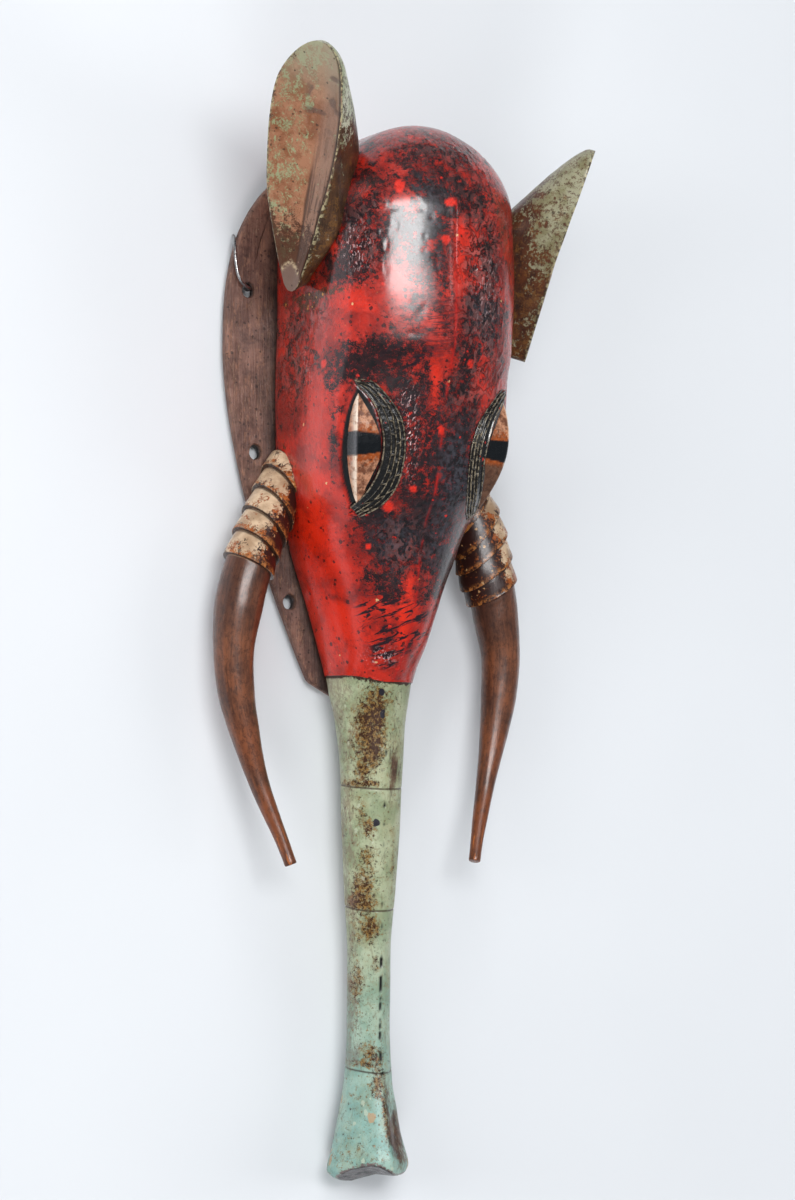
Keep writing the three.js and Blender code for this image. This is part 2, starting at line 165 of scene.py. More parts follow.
def store(piece, name, values):
    # one number, or one vector, for each vertex; the points that close a grid's ends take the mean
    # of their ring
    values = np.asarray(values, float)
    vector = values.shape[-1] == 3 and values.ndim > 1
    flat = values.reshape(-1, 3) if vector else values.ravel()
    short = len(piece.data.vertices) - len(flat)
    if short:
        rows = values.shape[0]
        ends = [flat[: len(flat) // rows].mean(0), flat[-(len(flat) // rows):].mean(0)]
        flat = np.concatenate([flat, ends[:short]])
    kind, field = ("FLOAT_VECTOR", "vector") if vector else ("FLOAT", "value")
    attribute = piece.data.attributes.new(name, kind, "POINT")
    attribute.data.foreach_set(field, flat.astype(np.float32).ravel())


def readField(piece, name, size=1):
    # what was stored: one number, or one vector of that size, for each vertex
    data = piece.data.attributes[name].data
    values = np.empty(len(data) * size, np.float32)
    data.foreach_get("value" if size == 1 else "vector", values)
    return values.astype(float) if size == 1 else values.astype(float).reshape(-1, size)


def cutAway(piece, cutters):
    # takes the cutters' shapes out of the piece and removes the cutters
    for cutter in cutters:
        cut = piece.modifiers.new("cut", "BOOLEAN")
        cut.operation, cut.solver, cut.object = "DIFFERENCE", "MANIFOLD", cutter
    graph = bpy.context.evaluated_depsgraph_get()
    old = piece.data
    piece.data = bpy.data.meshes.new_from_object(piece.evaluated_get(graph))
    piece.data.name = piece.name
    piece.modifiers.clear()
    bpy.data.meshes.remove(old)
    for cutter in cutters:
        bpy.data.objects.remove(cutter)


def finishPiece(piece, material, sharpAngle, node="carved_mask"):
    # smooth but for edges sharper than the angle in degrees, and tied to the model it stands for
    mesh = piece.data
    mesh.polygons.foreach_set("use_smooth", np.ones(len(mesh.polygons), bool))
    mesh.set_sharp_from_angle(angle=math.radians(sharpAngle))
    mesh.materials.clear()
    mesh.materials.append(material)
    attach(piece, "root")
    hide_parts(node)
    print("made", piece.name, len(mesh.polygons), "faces")


# sizes of the head, the snout and the trunk
# y, half width, height of the widest line, front, back, fullness in front and behind
headSections = np.array([
    (-379.0, 11.0, 17.0, 38.5, 3.0, 2.0, 2.2),
    (-377.5, 18.5, 14.0, 41.5, -2.0, 1.9, 2.3),
    (-375.0, 24.0, 11.5, 43.2, -4.6, 1.8, 2.4),
    (-370.5, 27.6, 9.0, 44.0, -5.6, 1.75, 2.4),
    (-361.0, 25.0, 9.0, 41.6, -6.0, 1.75, 2.3),
    (-351.0, 21.7, 9.3, 39.0, -6.3, 1.8, 2.2),
    (-334.0, 18.1, 11.2, 35.0, -6.0, 1.9, 2.1),
    (-318.0, 15.5, 12.0, 32.0, -5.0, 1.8, 2.0),
    (-286.0, 13.9, 13.0, 29.0, -3.0, 1.8, 2.0),
    (-234.0, 13.9, 13.6, 31.0, -3.8, 1.8, 2.0),
    (-189.0, 17.2, 15.1, 32.3, -3.5, 1.9, 2.0),
    (-154.0, 19.6, 16.5, 34.3, -4.0, 1.9, 2.0),
    (-119.0, 20.8, 16.8, 36.2, -4.5, 1.9, 2.0),
    (-82.0, 24.0, 14.5, 38.5, -5.5, 1.9, 2.1),
    (-62.0, 28.0, 12.5, 41.0, -6.0, 1.9, 2.3),
    (-45.0, 31.0, 10.0, 52.0, -6.0, 1.9, 2.6),
    (-27.0, 36.0, 9.0, 65.2, -4.0, 1.9, 3.0),
    (0.0, 44.0, 8.0, 75.6, -2.0, 1.9, 4.0),
    (29.0, 53.5, 12.0, 82.1, -1.0, 2.0, 8.0),
    (47.0, 58.0, 16.0, 87.5, -1.0, 2.1, 12.0),
    (70.0, 63.0, 42.0, 101.0, -1.0, 2.2, 16.0),
    (107.0, 67.5, 67.0, 109.0, -1.0, 2.2, 16.0),
    (143.0, 68.0, 66.0, 117.7, -1.0, 2.2, 16.0),
    (163.0, 67.6, 70.0, 125.0, -1.0, 2.2, 16.0),
    (196.0, 67.0, 76.0, 126.6, -1.0, 2.2, 16.0),
    (249.0, 67.0, 76.0, 126.7, -1.0, 2.1, 14.0),
])
headShape = {
    "crownStart": 249.0,
    "crownHeight": 61.5,
    "crownFullness": 1.9,
    "crownTurn": 88.6,  # degrees; the last ring stops just short of the top
    "readFrom": -300.0,  # other pieces read the cross-section between these two places only
    "readTo": 309.0,
    "border": -53.6,  # where the red head meets the green trunk
    "borderRise": 4.7,  # how much higher that is on the left
    "lip": 0.7,
    "lipTurns": (80, 50, 22),  # degrees by which the lip's rings roll under
    "eyes": (42, 150),  # the rings are closer together along the eyes
    "rings": (62, 96, 62, 62),  # below the eyes, along them, above them, and over the crown
    "frontAround": 172,
    "backAround": (26, 16, 26),  # side, back and side
    "crackGap": 0.012,  # points closer to the crack than this angle give way to closer ones
    "crackTurns": (-0.009, -0.004, 0, 0.004, 0.009),
    "keel": 0.5,
    "crackDepth": 0.3,
    "puckers": 0.75,
    "flakes": 0.2,
    "bandBed": 2.4,  # how deep the bed under a cut band and the trough by an eye are
    "eyeTrough": 0.5,
}


def sectionAt(y):
    # the cross-section at y: its measures run smoothly through the sections above; over the crown
    # they shrink by (1 - t^fullness)^(1 / fullness)
    columns = (headSections[:, n] for n in range(1, 7))
    half, mid, front, back, nose, box = (smoothAt(headSections[:, 0], column, y) for column in columns)
    t = np.clip((y - headShape["crownStart"]) / headShape["crownHeight"], 0, 1)
    full = headShape["crownFullness"]
    s = (1 - t**full) ** (1 / full)
    half, front = half * s, mid + (front - mid) * s
    back = mid - (mid - back) * np.minimum(1.5 * s**0.6, 1)
    box = 2.2 + (box - 2.2) * s**2
    return half, mid, front, back, nose, box


def ringAt(section, angle):
    # superellipse |x/half|^n + |z/reach|^n = 1 met by a ray at the angle from its middle
    half, mid, front, back, nose, box = section
    c, d = np.cos(angle), np.sin(angle)
    n = np.where(d >= 0, nose, box)
    reach = np.where(d >= 0, front - mid, mid - back)
    r = (np.abs(c) ** n + np.abs(d) ** n) ** (-1 / n)
    return half * r * c, mid + reach * r * d


def crossAt(points):
    # half width and middle of the cross-section at each point, and the power and the reach of its
    # superellipse on the point's side of the middle
    y = np.clip(points[..., 1], headShape["readFrom"], headShape["readTo"])
    half, mid, front, back, nose, box = sectionAt(y)
    above = points[..., 2] >= mid
    return half, mid, np.where(above, nose, box), np.where(above, front - mid, mid - back)


def headFront(x, y):
    # height of the head's front at x, y, which is its superellipse solved for z
    half, mid, front, _, nose, _ = sectionAt(y)
    across = np.clip(np.abs(x) / np.maximum(half, 1e-6), 0, 1)
    return mid + (front - mid) * (1 - across**nose) ** (1 / nose)


def closerAtCrack(angles, gap, turns):
    # the angles round a ring, with those next to the top replaced by a few that lie closer together
    top = math.pi / 2
    return np.sort(np.concatenate([angles[np.abs(angles - top) > gap], top + np.array(turns)]))


def handCarved(points):
    # the slow swells that a carver's knife leaves, in millimetres
    return 0.34 * lumps(points, 31.0, 3) + 0.16 * lumps(points, 13.0, 4)


# eyes and the cut bands beside them
eyeShape = {
    "top": np.array([54.2, 131.0, 95.5]),
    "bottom": np.array([46.0, 60.0, 78.5]),
    "bowX": 1.2,
    "bowZ": 6.0,
    "almond": 0.8,
    # the four corners of its cross-section, outwards and upwards from the middle, with how soft each
    # is and how many points lead on from it
    "corners": ("inner", "ridge", "outer", "root"),
    "inner": (-12.0, 6.2),
    "ridge": (5.6, 4.2),
    "outer": (7.0, -5.5),
    "root": (-5.0, -13.0),
    "soft": (0.7, 0.45, 0.7, 0.9),
    "counts": (22, 18, 8, 8),
    "rows": 120,
}
bandShape = {
    "inner": np.array([
        (56.6, 134.8), (46.6, 120.4), (42.6, 109.0), (40.4, 99.0), (39.9, 85.0), (42.2, 73.6), (47.6, 58.8),
    ]),
    "outer": np.array([
        (57.4, 138.4), (49.0, 136.8), (38.0, 126.2), (28.6, 113.2), (24.6, 99.5), (24.2, 85.5), (26.4, 71.0),
        (31.8, 58.8), (40.6, 51.6),
    ]),
    "rows": 360,
    "across": 84,
    "lift": 0.3,
    "beyond": (57.4, 46.2),  # where the inner edge is taken to be above and below its ends
    "rim": 0.115,  # how far across the thin ridge beside the eye lies
    "strip": 0.36,  # where the plain strip ends and the cells begin
    "lines": (0.39, 0.59, 0.78, 0.965),
    "cellDepth": 1.35,
    "cells": 8,
    "starts": (0, 0.45, 0.15),  # how far each row's first cell is shifted
    "lineWidth": 0.46,
    "crossWidth": 0.42,
    "thickness": 4.2,
}


def eyeOutline(y):
    # how far out the eye's inner edge, middle and outer edge lie at y: the middle runs straight from
    # top to bottom with a sine bow, and the edges stand off it by sine to the power of almond
    e = eyeShape
    top, bottom = e["top"], e["bottom"]
    t = np.clip((top[1] - y) / (top[1] - bottom[1]), 0, 1)
    swell = np.sin(np.pi * t) ** e["almond"]
    middle = top[0] + (bottom[0] - top[0]) * t + e["bowX"] * np.sin(np.pi * t)
    return middle + e["inner"][0] * swell, middle, middle + e["outer"][0] * swell


def splineThrough(points, closed=False, samples=2000):
    # centripetal Catmull-Rom curve through the points; returns places along it, their share of the
    # points' count, and the distance run
    points = np.asarray(points, float)
    if closed:
        padded = np.concatenate([points[-1:], points, points[:2]])
        spans = len(points)
    else:
        padded = np.concatenate([[2 * points[0] - points[1]], points, [2 * points[-1] - points[-2]]])
        spans = len(points) - 1
    u = np.linspace(0, 1, samples, endpoint=not closed)
    i = np.minimum((u * spans).astype(int), spans - 1)
    w = (u * spans - i)[:, None]
    p0, p1, p2, p3 = (padded[i + n] for n in range(4))
    chords = (p1 - p0, p2 - p1, p3 - p2)
    d0, d1, d2 = (np.maximum(np.linalg.norm(c, axis=1, keepdims=True) ** 0.5, 1e-4) for c in chords)
    t1 = ((p1 - p0) / d0 - (p2 - p0) / (d0 + d1) + (p2 - p1) / d1) * d1
    t2 = ((p2 - p1) / d1 - (p3 - p1) / (d1 + d2) + (p3 - p2) / d2) * d1
    places = p1 + t1 * w + (3 * (p2 - p1) - 2 * t1 - t2) * w**2 + (2 * (p1 - p2) + t1 + t2) * w**3
    run = np.concatenate([[0], np.cumsum(np.linalg.norm(np.diff(places, axis=0), axis=1))])
    return places, u, run


def alongCurve(at, run, values):
    # the values of each column, read at the given distances along the curve
    return np.stack([np.interp(at, run, column) for column in values.T], -1)


def resample(points, count):
    # evenly spaced places on the curve through the points
    places, _, run = splineThrough(points)
    return alongCurve(np.linspace(0, run[-1], count), run, places)


bandInner = resample(bandShape["inner"], 200)
bandOuter = resample(bandShape["outer"], 200)


def bandEdges(y):
    # how far out both edges of the cut band lie at y
    inner, outer = (np.interp(y, *edge[np.argsort(edge[:, 1])].T[::-1]) for edge in (bandInner, bandOuter))
    above, below = y > bandInner[:, 1].max(), y < bandInner[:, 1].min()
    return np.where(above, bandShape["beyond"][0], np.where(below, bandShape["beyond"][1], inner)), outer


def underBand(points):
    # 1 under the cut band, 0 elsewhere
    x, y = np.abs(points[..., 0]), points[..., 1]
    inner, outer = bandEdges(y)
    inRow = ease(53.4, 54.8, y) * (1 - ease(135.6, 137.0, y))
    return inRow * ease(0.2, 1.4, x - outer) * ease(0.2, 1.4, inner - x) * (points[..., 2] > 50)


def besideEye(points):
    # 1 in the smooth dark trough round the eye
    x, y = np.abs(points[..., 0]), points[..., 1]
    inner, _ = bandEdges(y)
    eyeIn, _, eyeOut = eyeOutline(y)
    rows = ease(56.5, 59.0, y) * (1 - ease(133.0, 135.5, y))
    across = ease(-0.6, 0.4, x - np.minimum(inner, eyeIn)) * ease(-0.8, 0.3, eyeOut + 1.6 - x)
    return rows * across * (points[..., 2] > 45)


# where the colours lie on the head, as seen from its front left: place across, place along,
# reach across, reach along, strength
headPatches = {
    "soot": [
        (3, 234, 15, 30, 1.0), (-10, 203, 16, 15, 0.95), (5, 268, 13, 14, 0.6), (58, 256, 15, 12, 1.0),
        (76, 250, 8, 12, 0.7), (24, 238, 11, 18, 0.9), (17, 222, 6, 14, 0.7), (54, 214, 6, 11, 0.6),
        (50, 190, 12, 16, 0.6), (83, 182, 13, 24, 0.95), (70, 148, 8, 30, 0.8), (-2, 149, 24, 14, 1.05),
        (36, 128, 17, 15, 1.05), (43, 100, 14, 36, 1.05), (64, 78, 14, 46, 1.15), (54, 30, 11, 34, 1.0),
        (20, 36, 18, 24, 1.15), (8, 52, 8, 8, 0.7), (40, 44, 12, 24, 0.95), (22, 6, 15, 14, 0.48),
        (-16, 96, 3, 26, 0.5), (30, 286, 40, 20, 0.45), (60, 284, 20, 14, 0.5), (86, 226, 7, 45, 0.5),
        (43, 238, 13, 30, 0.85), (20, -26, 12, 18, 0.28), (24, 158, 20, 12, 0.8),
        (-42, 168, 11, 42, 0.5), (-20, 118, 8, 30, 0.3), (10, 176, 22, 10, 0.35),
    ],
    # steel grey: dark grey paint, partly a painted bluish sheen, also laid under the highlight on the crown
    # to grey it
    "greyAndSheen": [
        (64, 76, 13, 44, 1.0), (54, 34, 12, 20, 1.0), (24, 36, 15, 20, 0.85), (24, 238, 10, 13, 0.7),
        (79, 186, 8, 15, 0.9), (56, 200, 8, 22, 0.45), (40, 128, 12, 10, 0.35), (86, 150, 9, 40, 0.5),
        (42, 238, 14, 31, 1.0),
    ],
    "stroke": [
        (16, -6, 19, 12, 1.0), (20, -22, 17, 12, 1.0), (20, -38, 13, 10, 0.8), (32, 152, 20, 10, 0.8),
        (40, -16, 8, 14, 0.8), (4, 66, 6, 8, 0.3),
    ],
    "scratched": [(50, 176, 16, 17, 1.0), (44, 158, 14, 8, 0.7), (36, 196, 6, 20, 0.5)],
    "clean": [
        (0, 184, 18, 15, 1.0), (-16, -12, 12, 40, 1.0), (4, -24, 16, 24, 0.7),
        (-26, 90, 9, 60, 0.75), (-34, 30, 14, 40, 0.7),
        (50, 138, 3.0, 18, 0.7), (50, 108, 3.0, 10, 0.3), (34, 6, 3, 14, 0.7), (29, -18, 3.4, 24, 0.9),
        (66, 214, 3, 32, 0.7), (26, 252, 12, 9, 0.55), (70, 136, 8, 14, 0.3),
    ],
    "puckered": [
        (80, 215, 15, 46, 1.0), (80, 150, 14, 26, 0.9), (-44, 160, 9, 30, 0.9), (6, 232, 13, 26, 0.7),
        (64, 284, 22, 16, 0.6), (-30, 184, 12, 14, 0.7), (30, 34, 18, 20, 0.6), (30, 292, 30, 12, 0.35),
        (68, 128, 12, 12, 0.6),
    ],
    # glints: painted highlights, short pale strokes where the lacquer would catch the light
    "glints": [
        (-1, 222, 8, 13, 1.0), (34, 104, 4, 22, 1.0), (32, 127, 6, 4, 0.9),
        (15, -38, 9, 5, 0.7), (84, 196, 8, 30, 0.45),
        (2, 68, 4, 10, 0.6), (-34, 150, 6, 14, 0.4),
    ],
    "crust": [(-51, 78, 3.2, 26, 1.0), (-49, 50, 4, 18, 0.9), (-24, 196, 26, 4, 0.8), (-30, 190, 12, 8, 0.5)],
}
headSpots = [
    (27, 261, 3.4, 4.6), (60, 252, 3.6, 2.8), (57, 228, 3.0, 3.0), (67, 235, 2.4, 3.4), (36, 69, 2.4, 2.4),
    (20, 58, 3.4, 3.4), (54, 107, 2.2, 2.8), (7, 33, 2.0, 2.2), (73, 150, 1.8, 3.0), (-22, 150, 2.0, 3.0),
]


def acrossView(points):
    # how far to the right each point lies in the photograph's view
    return viewTurn["cosine"] * points[..., 0] + viewTurn["sine"] * points[..., 2]


def patchField(points, patches):
    # soft round patches, strength exp(-(distance / reach)^2), each covering its share of what the
    # others leave
    across, along = acrossView(points), points[..., 1]
    cover = np.zeros(points.shape[:-1])
    for x, y, reachX, reachY, strength in patches:
        far = ((across - x) / reachX) ** 2 + ((along - y) / reachY) ** 2
        cover = 1 - (1 - cover) * (1 - np.minimum(strength * np.exp(-far), 0.98))
    return cover


def spotField(points, spots):
    # 1 in small ovals with a wavy outline, 0 outside
    across = acrossView(points) + 0.5 * lumps(points, 2.6, 61)
    along = points[..., 1] + 0.5 * lumps(points, 2.2, 62)
    most = np.zeros(points.shape[:-1])
    for x, y, reachX, reachY in spots:
        far = ((across - x) / reachX) ** 2 + ((along - y) / reachY) ** 2
        most = np.maximum(most, 1 - ease(0.75, 1.1, far))
    return most


def headRelief(points):
    # hand carving, a low keel and a broken crack down the middle, puckers in the paint, and the
    # troughs by the eyes, in millimetres outwards
    h = headShape
    x, y, z = np.moveaxis(points, -1, 0)
    height = handCarved(points)
    height = height + h["keel"] * np.exp(-((x / 4.0) ** 2)) * ease(60, 120, y) * (1 - ease(250, 290, y))
    broken = ease(-0.25, 0.25, lumps(points * [0, 1, 0], 9.0, 11))
    crack = np.exp(-(((x + 0.3 * lumps(points, 12.0, 12)) / 0.9) ** 2))
    height = height - h["crackDepth"] * crack * broken * (1 - ease(245, 262, y)) * (z > 40)
    long = points * [1.0, 0.62, 1.0]
    creases = ridges(long, 6.5, 13) + 0.6 * ridges(long, 3.6, 14) - 0.3
    height = height + h["puckers"] * patchField(points, headPatches["puckered"]) * creases
    flakes = ease(0.42, 0.5, lumps(points, 4.4, 15)) * patchField(points, headPatches["soot"])
    height = height - h["flakes"] * flakes
    bed = underBand(points)
    return height - h["bandBed"] * bed - h["eyeTrough"] * besideEye(points) * (1 - bed)


def makeHead():
    # rings from the trunk's border to the top of the crown, finer along the eyes, each ring a
    # superellipse; the first few roll over a small lip
    h = headShape
    border, crownStart, lip = h["border"], h["crownStart"], h["lip"]
    eyesFrom, eyesTo = h["eyes"]
    belowCount, eyeCount, aboveCount, crownCount = h["rings"]
    below = border + (eyesFrom - border) * (np.arange(belowCount) / belowCount) ** 1.05
    eyes = np.linspace(eyesFrom, eyesTo, eyeCount, endpoint=False)
    above = np.linspace(eyesTo, crownStart, aboveCount, endpoint=False)
    turn = np.linspace(0, math.radians(h["crownTurn"]), crownCount)
    crown = crownStart + h["crownHeight"] * np.sin(turn) ** (2 / h["crownFullness"])
    y = np.concatenate([below, eyes, above, crown])[:, None]
    front = closerAtCrack(np.linspace(0, math.pi, h["frontAround"])[1:-1], h["crackGap"], h["crackTurns"])
    sides = math.pi * np.array([1, 1.25, 1.75, 2])
    left, back, right = (np.linspace(*ends) for ends in zip(sides[:-1], sides[1:], h["backAround"]))
    angle = np.concatenate([front, left, back[1:-1], right])[None]
    y = y + h["borderRise"] * ease(0.1, 1.0, -np.cos(angle)) * (1 - ease(border, border + 30, y))
    x, z = ringAt(sectionAt(y), angle)
    grid = np.stack([x, y + 0 * x, z], -1)
    normals = outwardNormals(grid)
    grid = grid + normals * headRelief(grid)[..., None]
    rolled = []
    for turnBack in np.radians(h["lipTurns"]):
        ring = grid[0] - normals[0] * lip * (1 - math.cos(turnBack))
        rolled.append(ring + [0, -lip * math.sin(turnBack), 0])
    first = rolled[0] + (grid[0].mean(0) - rolled[0]) * [0.5, 0, 0.5]
    grid = np.concatenate([[first], rolled, grid])
    return makeTube("head", grid)


# the hollow for the wearer's face
hollowShape = {
    "bottom": 6.0,
    "top": 286.0,
    "wallSide": 13.0,
    "wallFront": 18.0,
    "fullness": 3.2,
    "depth": -60.0,  # the cutter goes down past the back of the flange
    "corners": 30.0,
    "gouge": (0.7, 0.5),
    "rows": 84,
    "around": 132,
}


def makeHollow(grow=0.0):
    # rings along the head, each a superellipse inside the head's own, drawn in towards both ends by
    # (1 - |t|^fullness)^(1 / fullness)
    h = hollowShape
    t = -np.cos(np.linspace(0, math.pi, h["rows"]))[:, None] * 0.985
    y = (h["bottom"] + h["top"]) / 2 + (h["top"] - h["bottom"] + 2 * grow) / 2 * t
    half, mid, front, _, nose, _ = sectionAt(np.minimum(y, headShape["crownStart"]))
    k = (1 - np.abs(t) ** h["fullness"]) ** (1 / h["fullness"])
    section = (
        (half - h["wallSide"] + grow) * k,
        np.minimum(mid, front - h["wallFront"] - 12) * k,
        (front - h["wallFront"] + grow) * k,
        np.full_like(k, h["depth"]),
        nose,
        np.full_like(k, h["corners"]),
    )
    angle = np.linspace(0, 2 * math.pi, h["around"], endpoint=False)[None]
    x, z = ringAt(section, angle)
    grid = np.stack([x, y + 0 * x, z], -1)
    middle = np.stack([0 * x, y + 0 * x, z * 0 + 20], -1)
    fine, broad = h["gouge"]
    gouge = fine * lumps(grid * [0.55, 0.3, 0.55], 4.5, 21) + broad * lumps(grid * [1, 0.4, 1], 12.0, 22)
    gouge = gouge * np.minimum(1, grid[..., 2].clip(0) / 8)
    grid = grid + unit(grid - middle) * gouge[..., None]
    return makeTube("hollowCutter", grid)


# trunk
trunkShape = {
    "start": -45.0,
    "inset": 0.5,
    "lines": (-123.3, -204.2, -310.6),  # thin cut rings
    "lineDepth": 0.5,
    # open places in the crack down the front: from, to, how open
    "dashes": (
        (-99.0, -102.0, 0.7), (-134.0, -136.6, 0.8), (-147.0, -149.0, 0.5), (-160.0, -163.0, 0.3),
        (-199.0, -202.0, 0.5), (-214.0, -216.5, 0.5), (-235.2, -242.3, 1.0), (-248.2, -259.0, 0.9),
        (-262.0, -264.5, 0.6), (-266.0, -270.6, 0.8), (-276.2, -278.6, 0.5), (-280.0, -283.0, 0.7),
        (-285.0, -290.6, 0.8), (-298.0, -303.6, 0.9),
    ),
    "crackDepth": 1.1,
    "pitDepth": 1.2,
    "lineTilt": 0.1,
    "tipStart": -320.0,  # past this the rings lean, the front lower
    "tipLean": 0.19,
    "endFace": -379.0,
    "endLean": 0.19,
    "endRise": 7.5,  # how much higher the cut end starts at the front left
    "step": 1.75,
    "lineRings": (-1.1, -0.6, -0.2, 0.2, 0.6, 1.1),
    "endRings": (
        -367.5, -369, -370.5, -371.8, -373, -374, -374.8, -375.5, -376.2, -376.9, -377.5, -378.1,
        -378.6, -379,
    ),
    "frontAround": 84,
    "backAround": 50,
    "crackGap": 0.03,
    "crackTurns": (-0.024, -0.012, 0.0, 0.012, 0.024),
}


def trunkLine(points):
    # 1 on the thin rings cut round the trunk
    most = np.zeros(points.shape[:-1])
    for line in trunkShape["lines"]:
        at = points[..., 1] - line + trunkShape["lineTilt"] * (points[..., 2] - 20)
        at = at + 0.5 * lumps(points, 15.0, 33)
        most = np.maximum(most, np.exp(-((at / 0.55) ** 2)))
    return most


def trunkRelief(grid):
    # the trunk's swells, cut lines, open cracks, a pit, a ridge and a hollow near the tip, in
    # millimetres outwards, with the cracks and the pit by themselves
    k = trunkShape
    x, y, z = np.moveaxis(grid, -1, 0)
    height = 0.3 * lumps(grid, 26.0, 31) + 0.14 * lumps(grid * [1, 0.5, 1], 7.0, 32)
    height = height - k["lineDepth"] * trunkLine(grid)
    crack = np.zeros(grid.shape[:-1])
    for begin, finish, strength in k["dashes"]:
        dash = ease(begin + 0.6, begin - 0.6, y) * ease(finish - 0.6, finish + 0.6, y)
        crack = np.maximum(crack, strength * dash)
    crack = crack * np.exp(-(((x + 0.2) / (0.6 + 0.5 * crack)) ** 2)) * (z > 20)
    pit = np.exp(-(((x - 0.7) / 1.3) ** 2) - ((y + 312) / 1.2) ** 2) * (z > 20)
    ridge = np.exp(-((x / 3.2) ** 2)) * ease(-300, -335, y) * (z > 20)
    hollow = np.exp(-(((x - 7.5) / 4.6) ** 2) - ((y + 347) / 20) ** 2) * (z > 10)
    height = height - k["crackDepth"] * crack - k["pitDepth"] * pit
    height = height - k["inset"] * ease(-64, -50, y)
    return height + 0.7 * ridge - 1.8 * hollow, crack, pit


def makeTrunk():
    # rings from inside the snout to the tip, each a superellipse, tilted with the cut lines; past
    # tipStart each ring leans, its front lower, and a sloping plane cuts the end off
    k = trunkShape
    y = list(np.arange(k["start"], -366.0, -k["step"]))
    for line in k["lines"]:
        y += [line + offset for offset in k["lineRings"]]
    y = np.array(sorted(y, reverse=True) + list(k["endRings"]))[:, None]
    front = np.linspace(0, math.pi, k["frontAround"], endpoint=False)
    back = np.linspace(math.pi, 2 * math.pi, k["backAround"], endpoint=False)
    angle = np.concatenate([closerAtCrack(front, k["crackGap"], k["crackTurns"]), back])[None]
    x, z = ringAt(sectionAt(y), angle)
    tilted = y - k["lineTilt"] * (z - 20) * ease(-90, -110, y) * (1 - ease(-318, -322, y))
    x, z = ringAt(sectionAt(np.minimum(tilted, -40)), angle)
    past = np.clip(k["tipStart"] - y, 0, None) / (k["tipStart"] - k["endFace"])
    lean = k["tipLean"] * past**1.5
    grid = np.stack([x, tilted - lean * (sectionAt(y)[2] - z), z], -1)
    normals = outwardNormals(grid)
    height, crack, pit = trunkRelief(grid)
    grid = grid + normals * height[..., None]
    x, y, z = np.moveaxis(grid, -1, 0)
    end = k["endFace"] - k["endLean"] * (0.35 + 0.65 * ease(8, -10, x)) * (38.5 - z)
    end = end + k["endRise"] * ease(7, -13, x) * ease(-2, 36, z)
    grid[..., 1] = np.maximum(y, end + 0.25 * lumps(grid, 3.0, 37))
    piece = makeTube("trunk", grid)
    above = grid[..., 1] - end
    store(piece, "ring", trunkLine(grid))
    store(piece, "crack", np.clip(1.6 * crack + pit, 0, 1))
    store(piece, "tip", ease(0.7, 0.35, above) * np.maximum(ease(8, 2, x), ease(26, 15, z)))
    store(piece, "lip", ease(3.2, 1.2, above) * ease(2, 16, z))
    return piece


# flange
flangeShape = {
    "half": 101.2,
    "wideY": 167.0,
    "top": 131.0,
    "topFullness": 2.6,
    "taper": 0.00816,
    "taperPower": 1.66,
    "corner": (36.5, -54.4),
    "foot": (20.0, -63.6),
    "end": -69.0,
    "middle": 120.0,
    "holes": [(84.2, 206.4), (78.7, 98.6), (53.0, -0.4)],
    "holeRadius": 4.4,
    "holeLength": 1.12,  # how much longer than wide the holes are
    # the rings' shares of the outline, across and along, and their heights, from the front over the
    # edge and the resting ledge to the back
    "rings": (
        (0.45, 0.45, 0.0), (0.62, 0.62, 0.0), (0.72, 0.72, 0.0), (0.80, 0.80, 0.0), (0.86, 0.86, 0.0),
        (0.90, 0.90, 0.0), (0.94, 0.94, 0.0), (0.965, 0.975, 0.0), (0.982, 0.988, 0.0),
        (0.990, 0.993, -0.05), (0.9945, 0.9965, -0.35), (0.998, 0.9985, -0.9), (1.0, 1.0, -1.6),
        (1.0, 1.0, -3.2), (1.0, 1.0, -4.8), (0.999, 0.9994, -5.7), (0.994, 0.9965, -6.3),
        (0.985, 0.991, -6.5), (0.93, 0.96, -6.55), (0.85, 0.93, -6.65), (0.76, 0.90, -6.8),
        (0.735, 0.885, -8.4), (0.715, 0.873, -9.7), (0.71, 0.87, -10.0), (0.66, 0.84, -10.0),
        (0.5, 0.6, -10.0),
    ),
    # splits: x and y of both ends, width, depth
    "cracks": (
        (-70.0, 257.5, -80.4, 223.8, 1.5, 3.2), (-88.0, 42.0, -86.0, 60.0, 0.7, 1.6),
        (92.0, 120.0, 95.0, 150.0, 0.8, 1.8),
    ),
}


def flangeHalfAt(y):
    # half the flange's width: a superellipse above its widest place, and below it a half width that
    # falls off with a power of the distance
    f = flangeShape
    t = np.clip((y - f["wideY"]) / f["top"], 0, 1)
    above = f["half"] * (1 - t ** f["topFullness"]) ** (1 / f["topFullness"])
    below = f["half"] - f["taper"] * np.clip(f["wideY"] - y, 0, None) ** f["taperPower"]
    return np.where(y > f["wideY"], above, below)


